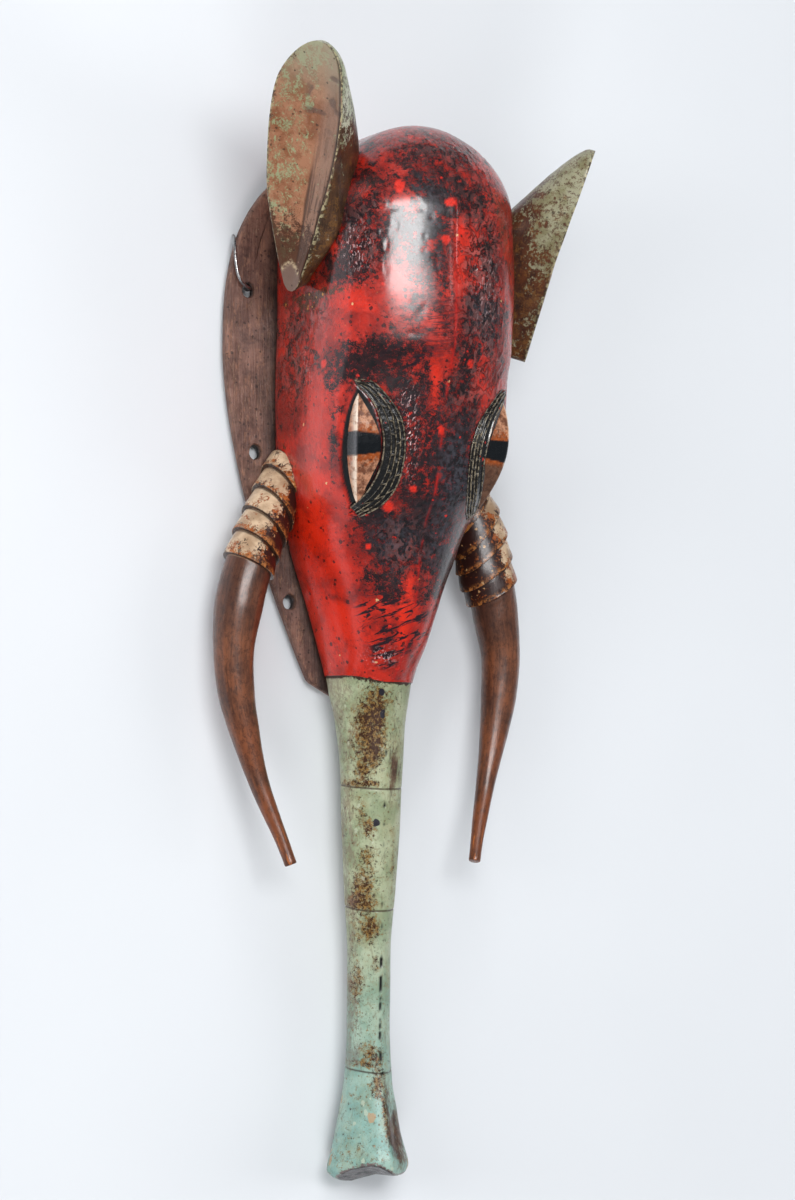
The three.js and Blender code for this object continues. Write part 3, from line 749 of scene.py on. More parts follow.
def makeFlange():
    # one outline scaled towards the middle, ring by ring, from the front over the edge to the back
    f = flangeShape
    turn = np.linspace(math.pi / 2, 0, 90)
    y = f["wideY"] + f["top"] * np.sin(turn)
    right = np.stack([flangeHalfAt(y), y], -1)
    right[0, 0] = 0
    y = np.linspace(f["wideY"], f["corner"][1], 110)[1:-1]
    side = np.stack([flangeHalfAt(y), y], -1)
    low = [f["corner"], f["foot"], (0, f["end"])]
    edge = np.concatenate([np.linspace(a, b, 12)[:-1] for a, b in zip(low[:-1], low[1:])] + [[low[-1]]])
    half = np.concatenate([right, side, edge])
    outline = np.concatenate([half, (half * [-1, 1])[-2:0:-1]])
    out = np.stack([outline[:, 0], outline[:, 1] - f["middle"]], -1)
    flat = np.stack([outline[:, 0], outline[:, 1], 0 * outline[:, 0]], -1)
    wobble = 1 + 0.0022 * lumps(flat, 16.0, 41) - 0.0015
    across, along, z = (column[:, None] for column in np.array(f["rings"]).T)
    x, y = out[:, 0] * across * wobble, f["middle"] + out[:, 1] * along * wobble
    grid = np.stack([x, y, z + 0 * wobble], -1)
    adze = 0.28 * lumps(grid * [1, 0.5, 1], 11.0, 42) + 0.14 * lumps(grid * [1, 0.35, 1], 4.0, 43)
    onFront, onLedge = z > -1.0, (z <= -6.5) & (z > -8.0)
    grid[..., 2] += onFront * np.minimum(adze - 0.25, 0.0) + onLedge * 0.6 * np.minimum(adze, 0)
    piece = makeTube("flange", grid)
    drills = [makeDrill(side * x, y) for x, y in f["holes"] for side in (-1, 1)]
    cutAway(piece, [makeHollow(0.4)] + drills + [makeSplit(*crack) for crack in f["cracks"]])
    return piece


def makeSplit(x0, y0, x1, y1, width, depth):
    # a thin wedge, widest in the middle of its length and at the surface
    t = np.linspace(0, 1, 9)[:, None]
    swell = np.sin(np.pi * np.clip(t, 0.03, 0.97)) * width / 2
    x, y = x0 + (x1 - x0) * t, y0 + (y1 - y0) * t
    side = np.array([[-1, 1, 0]])
    top = np.array([[1, 1, 0]])
    away = unit(np.array([y0 - y1, x1 - x0]))
    px = x + away[0] * swell * side + 0.4 * np.sin(9 * t)
    py = y + away[1] * swell * side
    pz = np.where(top > 0, 2.0, -depth) + 0 * px
    return makeTube("splitCutter", np.stack([px, py, pz], -1))


# how much wider than its radius a hole is, and at what height: it flares at the front and the back
drillProfile = np.array([
    (1.4, 3.0), (1.2, 0.6), (0.35, -0.7), (0.0, -1.6), (-0.1, -5.0), (0.0, -8.0), (0.4, -9.5), (1.6, -13.0),
])


def makeDrill(x, y):
    # a slightly long, uneven circle carried down the profile
    a = np.linspace(0, 2 * math.pi, 36, endpoint=False)[None]
    rough = 1 + 0.03 * np.sin(3 * a + x) + 0.02 * np.sin(5 * a + y)
    radius = (flangeShape["holeRadius"] + drillProfile[:, :1]) * rough
    alongY = y + flangeShape["holeLength"] * radius * np.sin(a)
    grid = np.stack([x + radius * np.cos(a), alongY, drillProfile[:, 1:] + 0 * a], -1)
    return makeTube("drillCutter", grid)


def keepInWall(points, inset=6.5):
    # what would reach the hollow stays inside the head's wall, that far under its surface
    half, mid, power, reach = crossAt(points)
    x, y, z = np.moveaxis(points, -1, 0)
    at = np.clip(np.abs(z - mid) / np.maximum(reach, 1e-6), 0, 1)
    wall = half * (1 - at**power) ** (1 / power) - inset
    kept = np.where((wall > 0) & (z >= -0.5), np.maximum(np.abs(x), wall), np.abs(x))
    return np.stack([np.where(x < 0, -1, 1) * kept, y, z], -1)


# ears
earShape = {
    # which side, the ends of the long axis, half width, offset, how far the upper part bows
    # outwards, how thick the body is behind the face, and how much it flares forwards by the head
    "left": {
        "side": -1, "foot": (82, 198.6, 53.8), "top": (104, 342, 137.4), "half": 26.2, "offset": -5.4,
        "bow": 0.0, "body": 50.0, "flare": 10.0,
    },
    "right": {
        "side": 1, "foot": (90, 162.1, 67.3), "top": (104, 296.8, 128.2), "half": 25.0, "offset": -5.0,
        "bow": 2.4, "body": 45.0, "flare": 0.0,
    },
    "normal": (0.825, -0.3, 0.477),
    "dish": 7.5,
    "peak": 0.67,  # how far up the ear is widest
    "crease": 0.27,  # how far across the dish is deepest
    "rounding": 0.9,
    "groove": (0.9, 0.036),  # how far across the groove beside the rim lies, and its width
    "grooveDepth": 0.9,
    "markDepth": 0.35,
    "rows": 150,
    "face": 64,
    "back": 76,
}


def earWidthAt(t):
    # sin rise up to the widest place, then a rounded fall to the top
    peak = earShape["peak"]
    rise = 0.13 + 0.87 * np.sin(math.pi / 2 * np.clip(t / peak, 0, 1)) ** 0.9
    u = np.clip((t - peak) / (1 - peak), 0, 1)
    return np.where(t < peak, rise, np.sqrt(np.maximum(1 - u**2.3, 0)))


def earFrame(ear):
    # the foot, the long axis, the direction that the face looks in, the one across it, the length
    mirror = np.array([ear["side"], 1, 1])
    foot, top = np.array(ear["foot"]) * mirror, np.array(ear["top"]) * mirror
    length = np.linalg.norm(top - foot)
    axis = (top - foot) / length
    normal = np.array(earShape["normal"]) * mirror
    normal = unit(normal - axis * np.dot(normal, axis))
    chord = np.cross(axis, normal)
    if chord[2] < 0:
        chord = -chord
    return foot, axis, normal, chord, length


def earMarks(straight, up, seed, full):
    # small dents in the upper part of the face
    return ease(0.35, full, lumps(straight * [0.5, 1.0, 0], 5.0, seed + 2)) * ease(0.6, 0.75, up)


def makeEar(name, ear, seed):
    # at each step up the long axis a ring: across the face, dished by 1 - |q|^sharp on both sides of
    # the crease, then round the thick body behind it, half a superellipse
    e = earShape
    foot, axis, normal, chord, length = earFrame(ear)
    t = np.minimum(1 - (1 - np.linspace(0, 1, e["rows"])) ** 1.5, 0.9985)[:, None]
    width = np.maximum(ear["half"] * earWidthAt(t), 0.8) * np.minimum(1, (t + 0.004) / 0.02) ** 0.5
    middle = ear["offset"] * np.minimum(t / 0.35, 1) * (0.2 + 0.8 * ease(0, 0.2, 1 - t))
    fall = (1 - t) * length
    depth = np.minimum(1.75 * fall**0.76 + 3.4, ear["body"]) * (0.6 + 0.4 * np.minimum(t / 0.4, 1))
    full = 1.85 + 1.1 * np.minimum(fall / 80, 1)
    dish = e["dish"] * np.minimum(fall / 30, 1) * np.minimum(t / 0.16, 1) * width / ear["half"]
    q = np.linspace(1, -1, e["face"])[None]
    sharp = 1.15 + 0.75 * ease(0.45, 0.75, t)
    toRim = np.where(q > e["crease"], 1 - e["crease"], 1 + e["crease"])
    valley = np.abs((q - e["crease"]) / toRim) ** sharp
    faceAcross = middle + width * q
    bow = ear["bow"] * ease(0.45, 0.85, t)
    rounding = e["rounding"] * np.minimum(width / 6, 1)
    faceOut = bow - dish * (1 - valley)
    faceOut = faceOut - rounding * (np.clip((np.abs(q) - 0.94) / 0.06, 0, 1) ** 2)
    a = math.pi * ease(0, 1, np.linspace(0, 1, e["back"]))[None, 1:-1]
    c = np.cos(a)
    backAcross = middle - width * np.sign(c) * np.abs(c) ** (2 / full)
    backOut = bow - depth * np.sin(a) ** (2 / full) - rounding
    flare = ear["flare"] * np.exp(-(((t - 0.27) / 0.16) ** 2)) * ease(0.02, 0.12, t)
    backAcross = backAcross + flare * ease(-0.35, -0.8, c) * ease(0, 9, -(backOut - bow))
    across = np.concatenate([faceAcross, backAcross], 1)
    out = np.concatenate([faceOut, backOut], 1)
    grid = foot + (t * length)[..., None] * axis + across[..., None] * chord + out[..., None] * normal
    normals = outwardNormals(grid)
    straight = np.stack([across, t * length + 0 * across, out], -1)
    height = 0.3 * lumps(straight * [1, 0.4, 1], 9.0, seed)
    height = height + 0.12 * lumps(straight * [1, 0.25, 1], 3.2, seed + 1)
    height = height * np.minimum(width / 8, 1)
    grooves = np.exp(-(((q - e["groove"][0]) / e["groove"][1]) ** 2)) * ease(0.03, 0.1, t)
    marks = earMarks(straight, t, seed, 0.55)[:, : e["face"]]
    height[:, : e["face"]] -= e["grooveDepth"] * grooves + e["markDepth"] * marks * (q > -0.3)
    piece = makeTube(name, keepInWall(grid + normals * height[..., None]))
    store(piece, "straight", straight / layout["perMetre"])
    store(piece, "up", t + 0 * across)
    # each field on the face, and on the body behind it
    fields = {
        "face": (np.ones_like(faceOut), np.zeros_like(backOut)),
        "rim": (
            np.exp(-(((np.abs(q) - 0.985) / 0.03) ** 2)) + 0 * t,
            np.exp(-(((backOut - bow + rounding) / 0.8) ** 2)),
        ),
        "groove": (grooves, 0 * backOut),
        "deep": (0 * faceOut, np.clip(-(backOut - bow) / 40, 0, 1)),
        "side": (q + 0 * t, np.clip((backAcross - middle) / width, -1, 1)),
    }
    for key, parts in fields.items():
        store(piece, key, np.concatenate(parts, 1))
    return piece


# tusks
tuskShape = {
    "roots": {
        "left": [(60.5, 85.0, 10.5, 14.4), (78.0, 52.0, 13.5, 15.3), (90.5, 25.5, 15.0, 15.8)],
        "right": [(68.0, 84.0, 15.0, 15.6), (84.5, 52.0, 16.0, 15.8), (92.5, 25.5, 15.6, 15.8)],
    },
    "line": [
        (98.2, -2.2, 14.8, 15.8), (102.5, -33.7, 15.2, 13.5), (100.6, -62.4, 15.6, 12.1),
        (96.2, -84.6, 17.2, 10.0),
        (91.4, -104.1, 19.1, 8.0), (86.0, -123.0, 21.8, 6.4), (80.3, -140.6, 25.7, 5.4),
        (74.5, -158.1, 30.2, 4.4),
        (69.9, -173.6, 34.0, 3.9),
    ],
    "bands": 5,
    "pitch": 14.6,
    "start": {"left": -1.5, "right": 7.5},
    "lean": {"left": (0.62, 0.0), "right": (0.45, 0.28)},
    "step": 2.5,
    "flare": {"left": 0.6, "right": 5.5},  # how far the root widens towards the head
    "around": 72,
    # how far down a band each ring of its swell lies
    "swell": (0.02, 0.05, 0.1, 0.2, 0.3, 0.4, 0.5, 0.6, 0.7, 0.8, 0.88, 0.93),
    # then how far down, how much of the step stands there, and how far down its colours are
    "drop": ((0.965, 1.0, 0.97), (0.985, 0.82, 1), (0.995, 0.5, 1)),
    # the rings at the tip: how far before it, and how much wider
    "tip": ((2.5, 0.1), (1.0, 0.15), (0.35, 0.0), (0.0, -0.5)),
}


def tuskStops(start, total):
    # the rings down a tusk: how far down, how much wider than the bare tusk, 1 in a band, and how
    # far down the band; in a band the width grows by f^0.9 to the lower edge and drops there
    k = tuskShape
    pitch, step = k["pitch"], k["step"]
    end = start + k["bands"] * pitch
    stops = [(0.0, 0.0, 0, 0)]
    for begin in start + pitch * np.arange(k["bands"]):
        stops += [(begin + pitch * f, 0.2 + (step - 0.1) * f**0.9, 1, f) for f in k["swell"]]
        stops += [(begin + pitch * f, step * share, 1, along) for f, share, along in k["drop"]]
        stops.append((begin + pitch, 0.1, 0.5, 1))
    stops += [(end + 0.8, -0.1, 0, 0), (end + 1.8, 0.0, 0, 0)]
    stops += [(s, 0, 0, 0) for s in np.arange(end + 3.5, total - 4, 2.0)]
    stops += [(total - before, wider, 0, 0) for before, wider in k["tip"]]
    return end, np.array([stop for stop in stops if stop[0] >= 0]).T


def makeTusk(name, which, side, seed):
    # round rings along the centre line; in each band the radius swells to its lower edge and drops
    k = tuskShape
    line = np.array(k["roots"][which] + k["line"])
    places, u, run = splineThrough(line[:, :3] * [side, 1, 1])
    total = run[-1]
    bandEnd, (s, extra, inBand, along) = tuskStops(k["start"][which], total)
    centre = alongCurve(s, run, places)
    forward = unit(alongCurve(s, run, unit(np.gradient(places, axis=0))))
    sideways = unit(np.cross([0.0, 0.0, 1.0], forward))
    upwards = unit(np.cross(forward, sideways))
    share = np.interp(s, run, u)
    radius = smoothAt(np.linspace(0, 1, len(line)), line[:, 3], share) + extra
    radius = np.maximum(radius, 0.5)
    outwardSign = np.where(np.sign(sideways[:, 0]) == side, 1, -1)
    rootLean, bandLean = k["lean"][which]
    lean = rootLean * np.maximum(1 - s / (bandEnd + 26), 0)
    lean = lean + bandLean * ease(0, 0.5 * bandEnd, s) * (1 - ease(bandEnd + 2, bandEnd + 40, s))
    a = np.linspace(0, 2 * math.pi, k["around"], endpoint=False)[None]
    wood = np.stack([radius[:, None] * np.cos(a), s[:, None] + 0 * a, radius[:, None] * np.sin(a)], -1)
    rough = 0.26 * lumps(wood * [1, 0.35, 1], 8.0, seed) + 0.1 * lumps(wood * [1, 0.2, 1], 3.0, seed + 1)
    chips = inBand[:, None] * ease(0.35, 0.6, lumps(wood, 3.0, seed + 2))
    chips = chips * ease(0.6, 1.0, along[:, None] + 0 * a)
    inner = -outwardSign[:, None] * np.cos(a)
    flare = k["flare"][which] * ease(bandEnd + 8, bandEnd - 26, s)
    full = radius[:, None] + rough - 0.35 * chips + flare[:, None] * np.clip(inner, 0, 1) ** 1.4
    out, up = (full * np.cos(a))[..., None], (full * np.sin(a))[..., None]
    grid = centre[:, None] + sideways[:, None] * out + upwards[:, None] * up
    grid = grid - forward[:, None] * ((lean * outwardSign)[:, None] * full * np.cos(a))[..., None]
    piece = makeTube(name, keepInWall(grid))
    store(piece, "straight", wood / layout["perMetre"])
    store(piece, "band", inBand[:, None] + 0 * a)
    store(piece, "edge", along[:, None] + 0 * a)
    store(piece, "inward", inner)
    store(piece, "run", (s / total)[:, None] + 0 * a)
    return piece


def makeEye(name, side):
    # at each step down the almond a ring: two flat facets that meet in a soft ridge, and a root
    e = eyeShape
    t = (0.5 - 0.5 * np.cos(np.linspace(0, math.pi, e["rows"])))[:, None]
    bow = np.sin(math.pi * t)
    swell = np.maximum(bow ** e["almond"], 0.04)
    x, y, z = (e["top"] + (e["bottom"] - e["top"]) * t).T[..., None]
    corners = []
    for out, up in (e[key] for key in e["corners"]):
        places = (x + e["bowX"] * bow + out * swell, y, z + e["bowZ"] * bow + up * swell)
        corners.append(np.concatenate(places, 1))
    ring = []
    for n in range(4):
        before, corner, after = corners[n - 1], corners[n], corners[(n + 1) % 4]
        soft = e["soft"][n] * swell
        leave = corner + unit(after - corner) * soft
        arrive = after + unit(corner - after) * soft
        turnFrom = corner + unit(before - corner) * soft
        for w in (0.0, 0.25, 0.5, 0.75):
            ring.append(turnFrom * (1 - w) ** 2 + corner * 2 * w * (1 - w) + leave * w**2)
        for w in np.linspace(0, 1, e["counts"][n])[:-1]:
            ring.append(leave + (arrive - leave) * w)
    grid = np.stack(ring, 1)
    grid[..., 2] += 0.12 * lumps(grid, 6.0, 51)
    grid[..., 0] *= side
    return makeTube(name, grid)


def makeBand(name, side):
    # a strip laid on the head between the two curved edges: a trough, a thin ridge, a plain strip,
    # then three rows of gouged cells with ridges left standing between them; closed underneath
    b = bandShape
    inner, outer = resample(b["inner"], b["rows"]), resample(b["outer"], b["rows"])
    u = np.linspace(0, 1, b["across"])[None, :, None]
    v = np.linspace(0, 1, b["rows"])[:, None]
    flat = inner[:, None] * (1 - u) + outer[:, None] * u
    u = u[..., 0]
    x, y = flat[..., 0] * side, flat[..., 1]
    surface = np.stack([x, y, headFront(x, y)], -1)
    normals = unit(np.cross(np.gradient(surface, axis=0), np.gradient(surface, axis=1)))
    normals = normals * np.where(normals[..., 2:] < 0, -1, 1)
    width = np.linalg.norm(inner - outer, axis=1)[:, None]
    length = np.linalg.norm(np.diff((inner + outer) / 2, axis=0), axis=1).sum()
    ridge = np.zeros_like(x)
    rng = np.random.default_rng(70 + side)
    for n, at in enumerate(b["lines"]):
        # in the upper part one line bends away and the next one is left out, so the cells are wider
        upper = 1 - ease(0.3, 0.4, v)
        bent = at + 0.012 * np.sin(9 * v + 7 * at) + 0.09 * (n == 1) * upper
        line = np.exp(-((np.abs(u - bent) * width / b["lineWidth"]) ** 3))
        ridge = np.maximum(ridge, line * (1 - upper * (n == 2)))
    for n in range(3):
        low, high = b["lines"][n], b["lines"][n + 1]
        inTrack = ease(low - 0.02, low + 0.02, u) * (1 - ease(high - 0.02, high + 0.02, u))
        for m in range(b["cells"] + 1):
            at = (m + b["starts"][n] + 0.16 * rng.uniform(-1, 1)) / (b["cells"] + 0.5)
            slant = (0.11 * (0.5 - at) + 0.012 * rng.uniform(-1, 1)) * (u - low) / (high - low)
            cross = np.exp(-((np.abs(v - at - slant) * length / b["crossWidth"]) ** 3))
            ridge = np.maximum(ridge, inTrack * cross)
    inCells = ease(b["strip"], b["strip"] + 0.04, u)
    narrow = np.minimum(1, width / 7)
    height = -b["cellDepth"] * inCells * (1 - ridge) * narrow * (1 - ease(0.965, 1.0, u))
    rim = np.exp(-((np.abs(u - b["rim"]) * width / 0.55) ** 2)) * narrow
    height = height + 0.5 * rim - 1.5 * narrow * (1 - ease(0.02, b["rim"], u))
    height = height - 0.45 * narrow * ease(b["rim"], b["rim"] + 0.08, u) * (1 - inCells)
    height = height + b["lift"] + 0.12 * lumps(surface, 2.2, 71)
    topSide = surface + normals * (handCarved(surface) + height)[..., None]
    underside = (surface - normals * b["thickness"])[:, ::-1][:, ::6]
    piece = makeTube(name, np.concatenate([topSide, underside], 1))
    below = 0 * underside[..., 0]
    store(piece, "raised", np.concatenate([np.maximum(ridge * inCells, rim), below], 1))
    store(piece, "cells", np.concatenate([inCells + 0 * x, below], 1))
    return piece


# wire
wireShape = {
    "radius": 1.0,
    "loop": [
        (-84.0, 206.8, -3.4), (-84.2, 207.2, 0.8), (-87.1, 207.6, 3.5), (-91.6, 210.2, 4.2),
        (-94.5, 215.8, 4.2),
        (-96.2, 227.0, 3.7), (-96.0, 234.5, 2.6), (-95.0, 239.8, -0.6), (-93.8, 242.8, -4.4),
        (-92.2, 242.8, -7.2),
        (-89.8, 239.6, -8.3), (-87.4, 228.0, -8.4), (-85.4, 216.0, -8.4), (-84.2, 209.2, -7.8),
    ],
    "rows": 320,
    "around": 14,
}


def makeWire():
    # circles carried round the closed curve through the loop's points
    w = wireShape
    places, _, run = splineThrough(w["loop"], closed=True, samples=4000)
    centre = alongCurve(np.linspace(0, run[-1], w["rows"], endpoint=False), run, places)
    forward = unit(np.roll(centre, -1, 0) - np.roll(centre, 1, 0))
    outward = unit(centre - centre.mean(0))
    outward = unit(outward - forward * np.sum(outward * forward, -1, keepdims=True))
    other = np.cross(forward, outward)
    a = np.linspace(0, 2 * math.pi, w["around"], endpoint=False)[None, :, None]
    grid = centre[:, None] + w["radius"] * (outward[:, None] * np.cos(a) + other[:, None] * np.sin(a))
    return makeTube("wire_loop", grid, closed=True)


# helpers for materials
def shade(red, green, blue):
    # a colour as a paint chart gives it, 0 to 255, in the linear values that shaders take
    part = [v / 255 for v in (red, green, blue)]
    return tuple(v / 12.92 if v <= 0.04045 else ((v + 0.055) / 1.055) ** 2.4 for v in part) + (1.0,)


def connect(tree, value, socket):
    # links another node's output, or sets a plain value
    if isinstance(value, bpy.types.NodeSocket):
        tree.links.new(value, socket)
    else:
        socket.default_value = value


def node(tree, kind, inputs=None, **settings):
    made = tree.nodes.new(kind)
    for key, value in settings.items():
        setattr(made, key, value)
    for key, value in (inputs or {}).items():
        connect(tree, value, made.inputs[key])
    return made


def math2(tree, operation, a, b=0.0, clamp=False):
    return node(tree, "ShaderNodeMath", {0: a, 1: b}, operation=operation, use_clamp=clamp).outputs[0]


def plus(tree, *values):
    total = values[0]
    for value in values[1:]:
        total = math2(tree, "ADD", total, value)
    return total


def times(tree, *values):
    total = values[0]
    for value in values[1:]:
        total = math2(tree, "MULTIPLY", total, value)
    return total


def mixed(tree, factor, a, b):
    return node(tree, "ShaderNodeMix", {0: factor, 6: a, 7: b}, data_type="RGBA").outputs[2]


def layered(tree, colour, layers):
    # each paint over those before it, where its mask lies and as strongly as its share
    for mask, share, paint in layers:
        colour = mixed(tree, mask if share == 1 else times(tree, mask, share), colour, paint)
    return colour


def between(tree, value, low, high, toLow=0.0, toHigh=1.0, smooth=True):
    ends = {"Value": value, "From Min": low, "From Max": high, "To Min": toLow, "To Max": toHigh}
    easing = "SMOOTHSTEP" if smooth else "LINEAR"
    return node(tree, "ShaderNodeMapRange", ends, interpolation_type=easing).outputs[0]


def noise(tree, vector, scale, detail=3.0, roughness=0.55, distortion=0.0):
    inputs = {"Vector": vector, "Scale": scale, "Detail": detail, "Roughness": roughness}
    return node(tree, "ShaderNodeTexNoise", {**inputs, "Distortion": distortion}).outputs[0]


def cloudy(tree, vector, scale, detail, span, to=(0.0, 1.0), roughness=0.55):
    # noise, with the given span of its values eased out to the other
    return between(tree, noise(tree, vector, scale, detail, roughness), *span, *to)


def attribute(tree, name, output=2):
    return node(tree, "ShaderNodeAttribute", attribute_name=name).outputs[output]


def attributes(tree, *names):
    return [attribute(tree, name) for name in names]


def stretched(tree, vector, scale):
    return node(tree, "ShaderNodeMapping", {"Vector": vector, "Scale": scale}).outputs[0]


def newGroup(name, inputs, outputs):
    # a node group; an input gives its name, its kind and, for a number, its usual value
    tree = bpy.data.node_groups.new(name, "ShaderNodeTree")
    for label, kind, *usual in inputs:
        socket = tree.interface.new_socket(label, in_out="INPUT", socket_type="NodeSocket" + kind)
        if usual:
            socket.default_value = usual[0]
    for label, kind in outputs:
        tree.interface.new_socket(label, in_out="OUTPUT", socket_type="NodeSocket" + kind)
    return tree, tree.nodes.new("NodeGroupInput").outputs, tree.nodes.new("NodeGroupOutput").inputs


def useGroup(tree, group, inputs):
    return node(tree, "ShaderNodeGroup", inputs, node_tree=group).outputs


def buildBreakup():
    # a field from 0 to 1 broken into ragged patches and crumbs, more of them where it is stronger
    tree, given, result = newGroup(
        "breakup",
        [("Vector", "Vector"), ("Amount", "Float", 0.5), ("Scale", "Float", 200.0),
         ("Softness", "Float", 0.04)],
        [("Mask", "Float")],
    )
    coarse = noise(tree, given["Vector"], given["Scale"], 8.0, 0.7, 0.35)
    fine = noise(tree, given["Vector"], times(tree, given["Scale"], 5.1), 4.0, 0.62)
    both = plus(tree, times(tree, coarse, 0.64), times(tree, fine, 0.36))
    need = between(tree, given["Amount"], 0.0, 1.0, 0.64, 0.38, smooth=False)
    low = math2(tree, "SUBTRACT", need, given["Softness"])
    high = plus(tree, need, given["Softness"])
    tree.links.new(between(tree, both, low, high), result["Mask"])
    return tree


def buildSpecks():
    # small round specks of uneven size, present in the given share of the cells
    tree, given, result = newGroup(
        "specks",
        [("Vector", "Vector"), ("Scale", "Float", 300.0), ("Size", "Float", 0.3), ("Share", "Float", 0.3)],
        [("Mask", "Float")],
    )
    warp = noise(tree, given["Vector"], times(tree, given["Scale"], 2.5), 2.0)
    inputs = {"Vector": given["Vector"], "Scale": given["Scale"], "Randomness": 1.0}
    cells = node(tree, "ShaderNodeTexVoronoi", inputs).outputs
    chance = node(tree, "ShaderNodeSeparateColor", {"Color": cells["Color"]}).outputs
    reach = times(tree, given["Size"], between(tree, chance[1], 0.0, 1.0, 0.35, 1.0, smooth=False))
    far = plus(tree, cells["Distance"], between(tree, warp, 0.3, 0.7, -0.12, 0.12, smooth=False))
    chosen = math2(tree, "LESS_THAN", chance[0], given["Share"])
    tree.links.new(times(tree, math2(tree, "LESS_THAN", far, reach), chosen), result["Mask"])
    return tree


def buildGrain():
    # long wood fibres along the vector's Y, with broad bands and pores
    tree, given, result = newGroup(
        "woodGrain",
        [("Vector", "Vector"), ("Scale", "Float", 1.0), ("Light", "Color"), ("Dark", "Color")],
        [("Colour", "Color"), ("Height", "Float"), ("Fibre", "Float")],
    )
    inputs = {0: given["Vector"], 3: given["Scale"]}
    scaled = node(tree, "ShaderNodeVectorMath", inputs, operation="SCALE").outputs[0]
    fibre = noise(tree, stretched(tree, scaled, (900.0, 45.0, 900.0)), 1.0, 5.0, 0.65, 0.2)
    broad = noise(tree, stretched(tree, scaled, (110.0, 16.0, 110.0)), 1.0, 4.0, 0.6, 0.5)
    mottle = noise(tree, scaled, 75.0, 5.0, 0.65)
    mix = plus(tree, times(tree, fibre, 0.3), times(tree, broad, 0.3), times(tree, mottle, 0.4))
    share = between(tree, mix, 0.38, 0.62)
    tree.links.new(mixed(tree, share, given["Dark"], given["Light"]), result["Colour"])
    tree.links.new(fibre, result["Height"])
    tree.links.new(share, result["Fibre"])
    return tree


def buildScratches():
    # thin short scratches running mostly along the vector's Y
    inputs = [("Vector", "Vector"), ("Amount", "Float", 0.5)]
    tree, given, result = newGroup("scratches", inputs, [("Mask", "Float")])
    long = noise(tree, stretched(tree, given["Vector"], (600.0, 40.0, 600.0)), 1.0, 2.0, 0.5, 0.1)
    off = math2(tree, "ABSOLUTE", math2(tree, "SUBTRACT", long, 0.5))
    line = between(tree, off, 0.004, 0.02, 1.0, 0.0)
    where = noise(tree, given["Vector"], 55.0, 3.0)
    need = between(tree, given["Amount"], 0.0, 1.0, 0.7, 0.4, smooth=False)
    there = between(tree, where, need, plus(tree, need, 0.05), smooth=False)
    tree.links.new(times(tree, line, there), result["Mask"])
    return tree


def buildPuckers():
    # lifted islands of thick paint with creased edges
    tree, given, result = newGroup(
        "puckers",
        [("Vector", "Vector"), ("Scale", "Float", 130.0), ("Amount", "Float", 0.0)],
        [("Height", "Float"), ("CreaseShade", "Float")],
    )
    swell = noise(tree, given["Vector"], given["Scale"], 3.0, 0.55, 1.1)
    island = between(tree, swell, 0.47, 0.54)
    off = math2(tree, "ABSOLUTE", math2(tree, "SUBTRACT", swell, 0.49))
    gaps = cloudy(tree, given["Vector"], times(tree, given["Scale"], 0.8), 2.0, (0.44, 0.54))
    crease = times(tree, between(tree, off, 0.006, 0.036, 1.0, 0.0), gaps)
    lift = math2(tree, "SUBTRACT", island, crease)
    tree.links.new(times(tree, lift, given["Amount"]), result["Height"])
    tree.links.new(times(tree, crease, given["Amount"]), result["CreaseShade"])
    return tree


breakup, specks, woodGrain = buildBreakup(), buildSpecks(), buildGrain()
scratches, puckers = buildScratches(), buildPuckers()


def broken(tree, vector, amount, scale, softness=0.04):
    inputs = {"Vector": vector, "Amount": amount, "Scale": scale, "Softness": softness}
    return useGroup(tree, breakup, inputs)["Mask"]


def dotted(tree, vector, scale, size, share):
    inputs = {"Vector": vector, "Scale": scale, "Size": size, "Share": share}
    return useGroup(tree, specks, inputs)["Mask"]


def grained(tree, vector, scale, light, dark):
    return useGroup(tree, woodGrain, {"Vector": vector, "Scale": scale, "Light": light, "Dark": dark})


def strokesAlong(tree, vector, turn, scale, low, high):
    # noise drawn out along a line turned by the angle from X
    turned = node(tree, "ShaderNodeMapping", {"Vector": vector, "Rotation": (0.0, 0.0, turn)}).outputs[0]
    return between(tree, noise(tree, stretched(tree, turned, scale), 1.0, 5.0, 0.62, 0.8), low, high)


def newMaterial(name, values):
    # a material with its own shader; numbers that don't change over the surface sit on the shader
    material = bpy.data.materials.new(name)
    material.use_nodes = True
    tree = material.node_tree
    tree.nodes.clear()
    shader = node(tree, "ShaderNodeBsdfPrincipled")
    for key, value in values.items():
        shader.inputs[key].default_value = value
    output = node(tree, "ShaderNodeOutputMaterial")
    tree.links.new(shader.outputs[0], output.inputs[0])
    place = node(tree, "ShaderNodeTexCoord").outputs["Object"]
    return material, tree, shader, place


def finishShader(tree, shader, colour, rough, height, distance):
    # the colour, the roughness, and a bump whose full height is the distance in metres
    tree.links.new(colour, shader.inputs["Base Color"])
    tree.links.new(rough, shader.inputs["Roughness"])
    made = node(tree, "ShaderNodeBump", {"Height": height, "Distance": distance, "Strength": 1.0})
    tree.links.new(made.outputs[0], shader.inputs["Normal"])


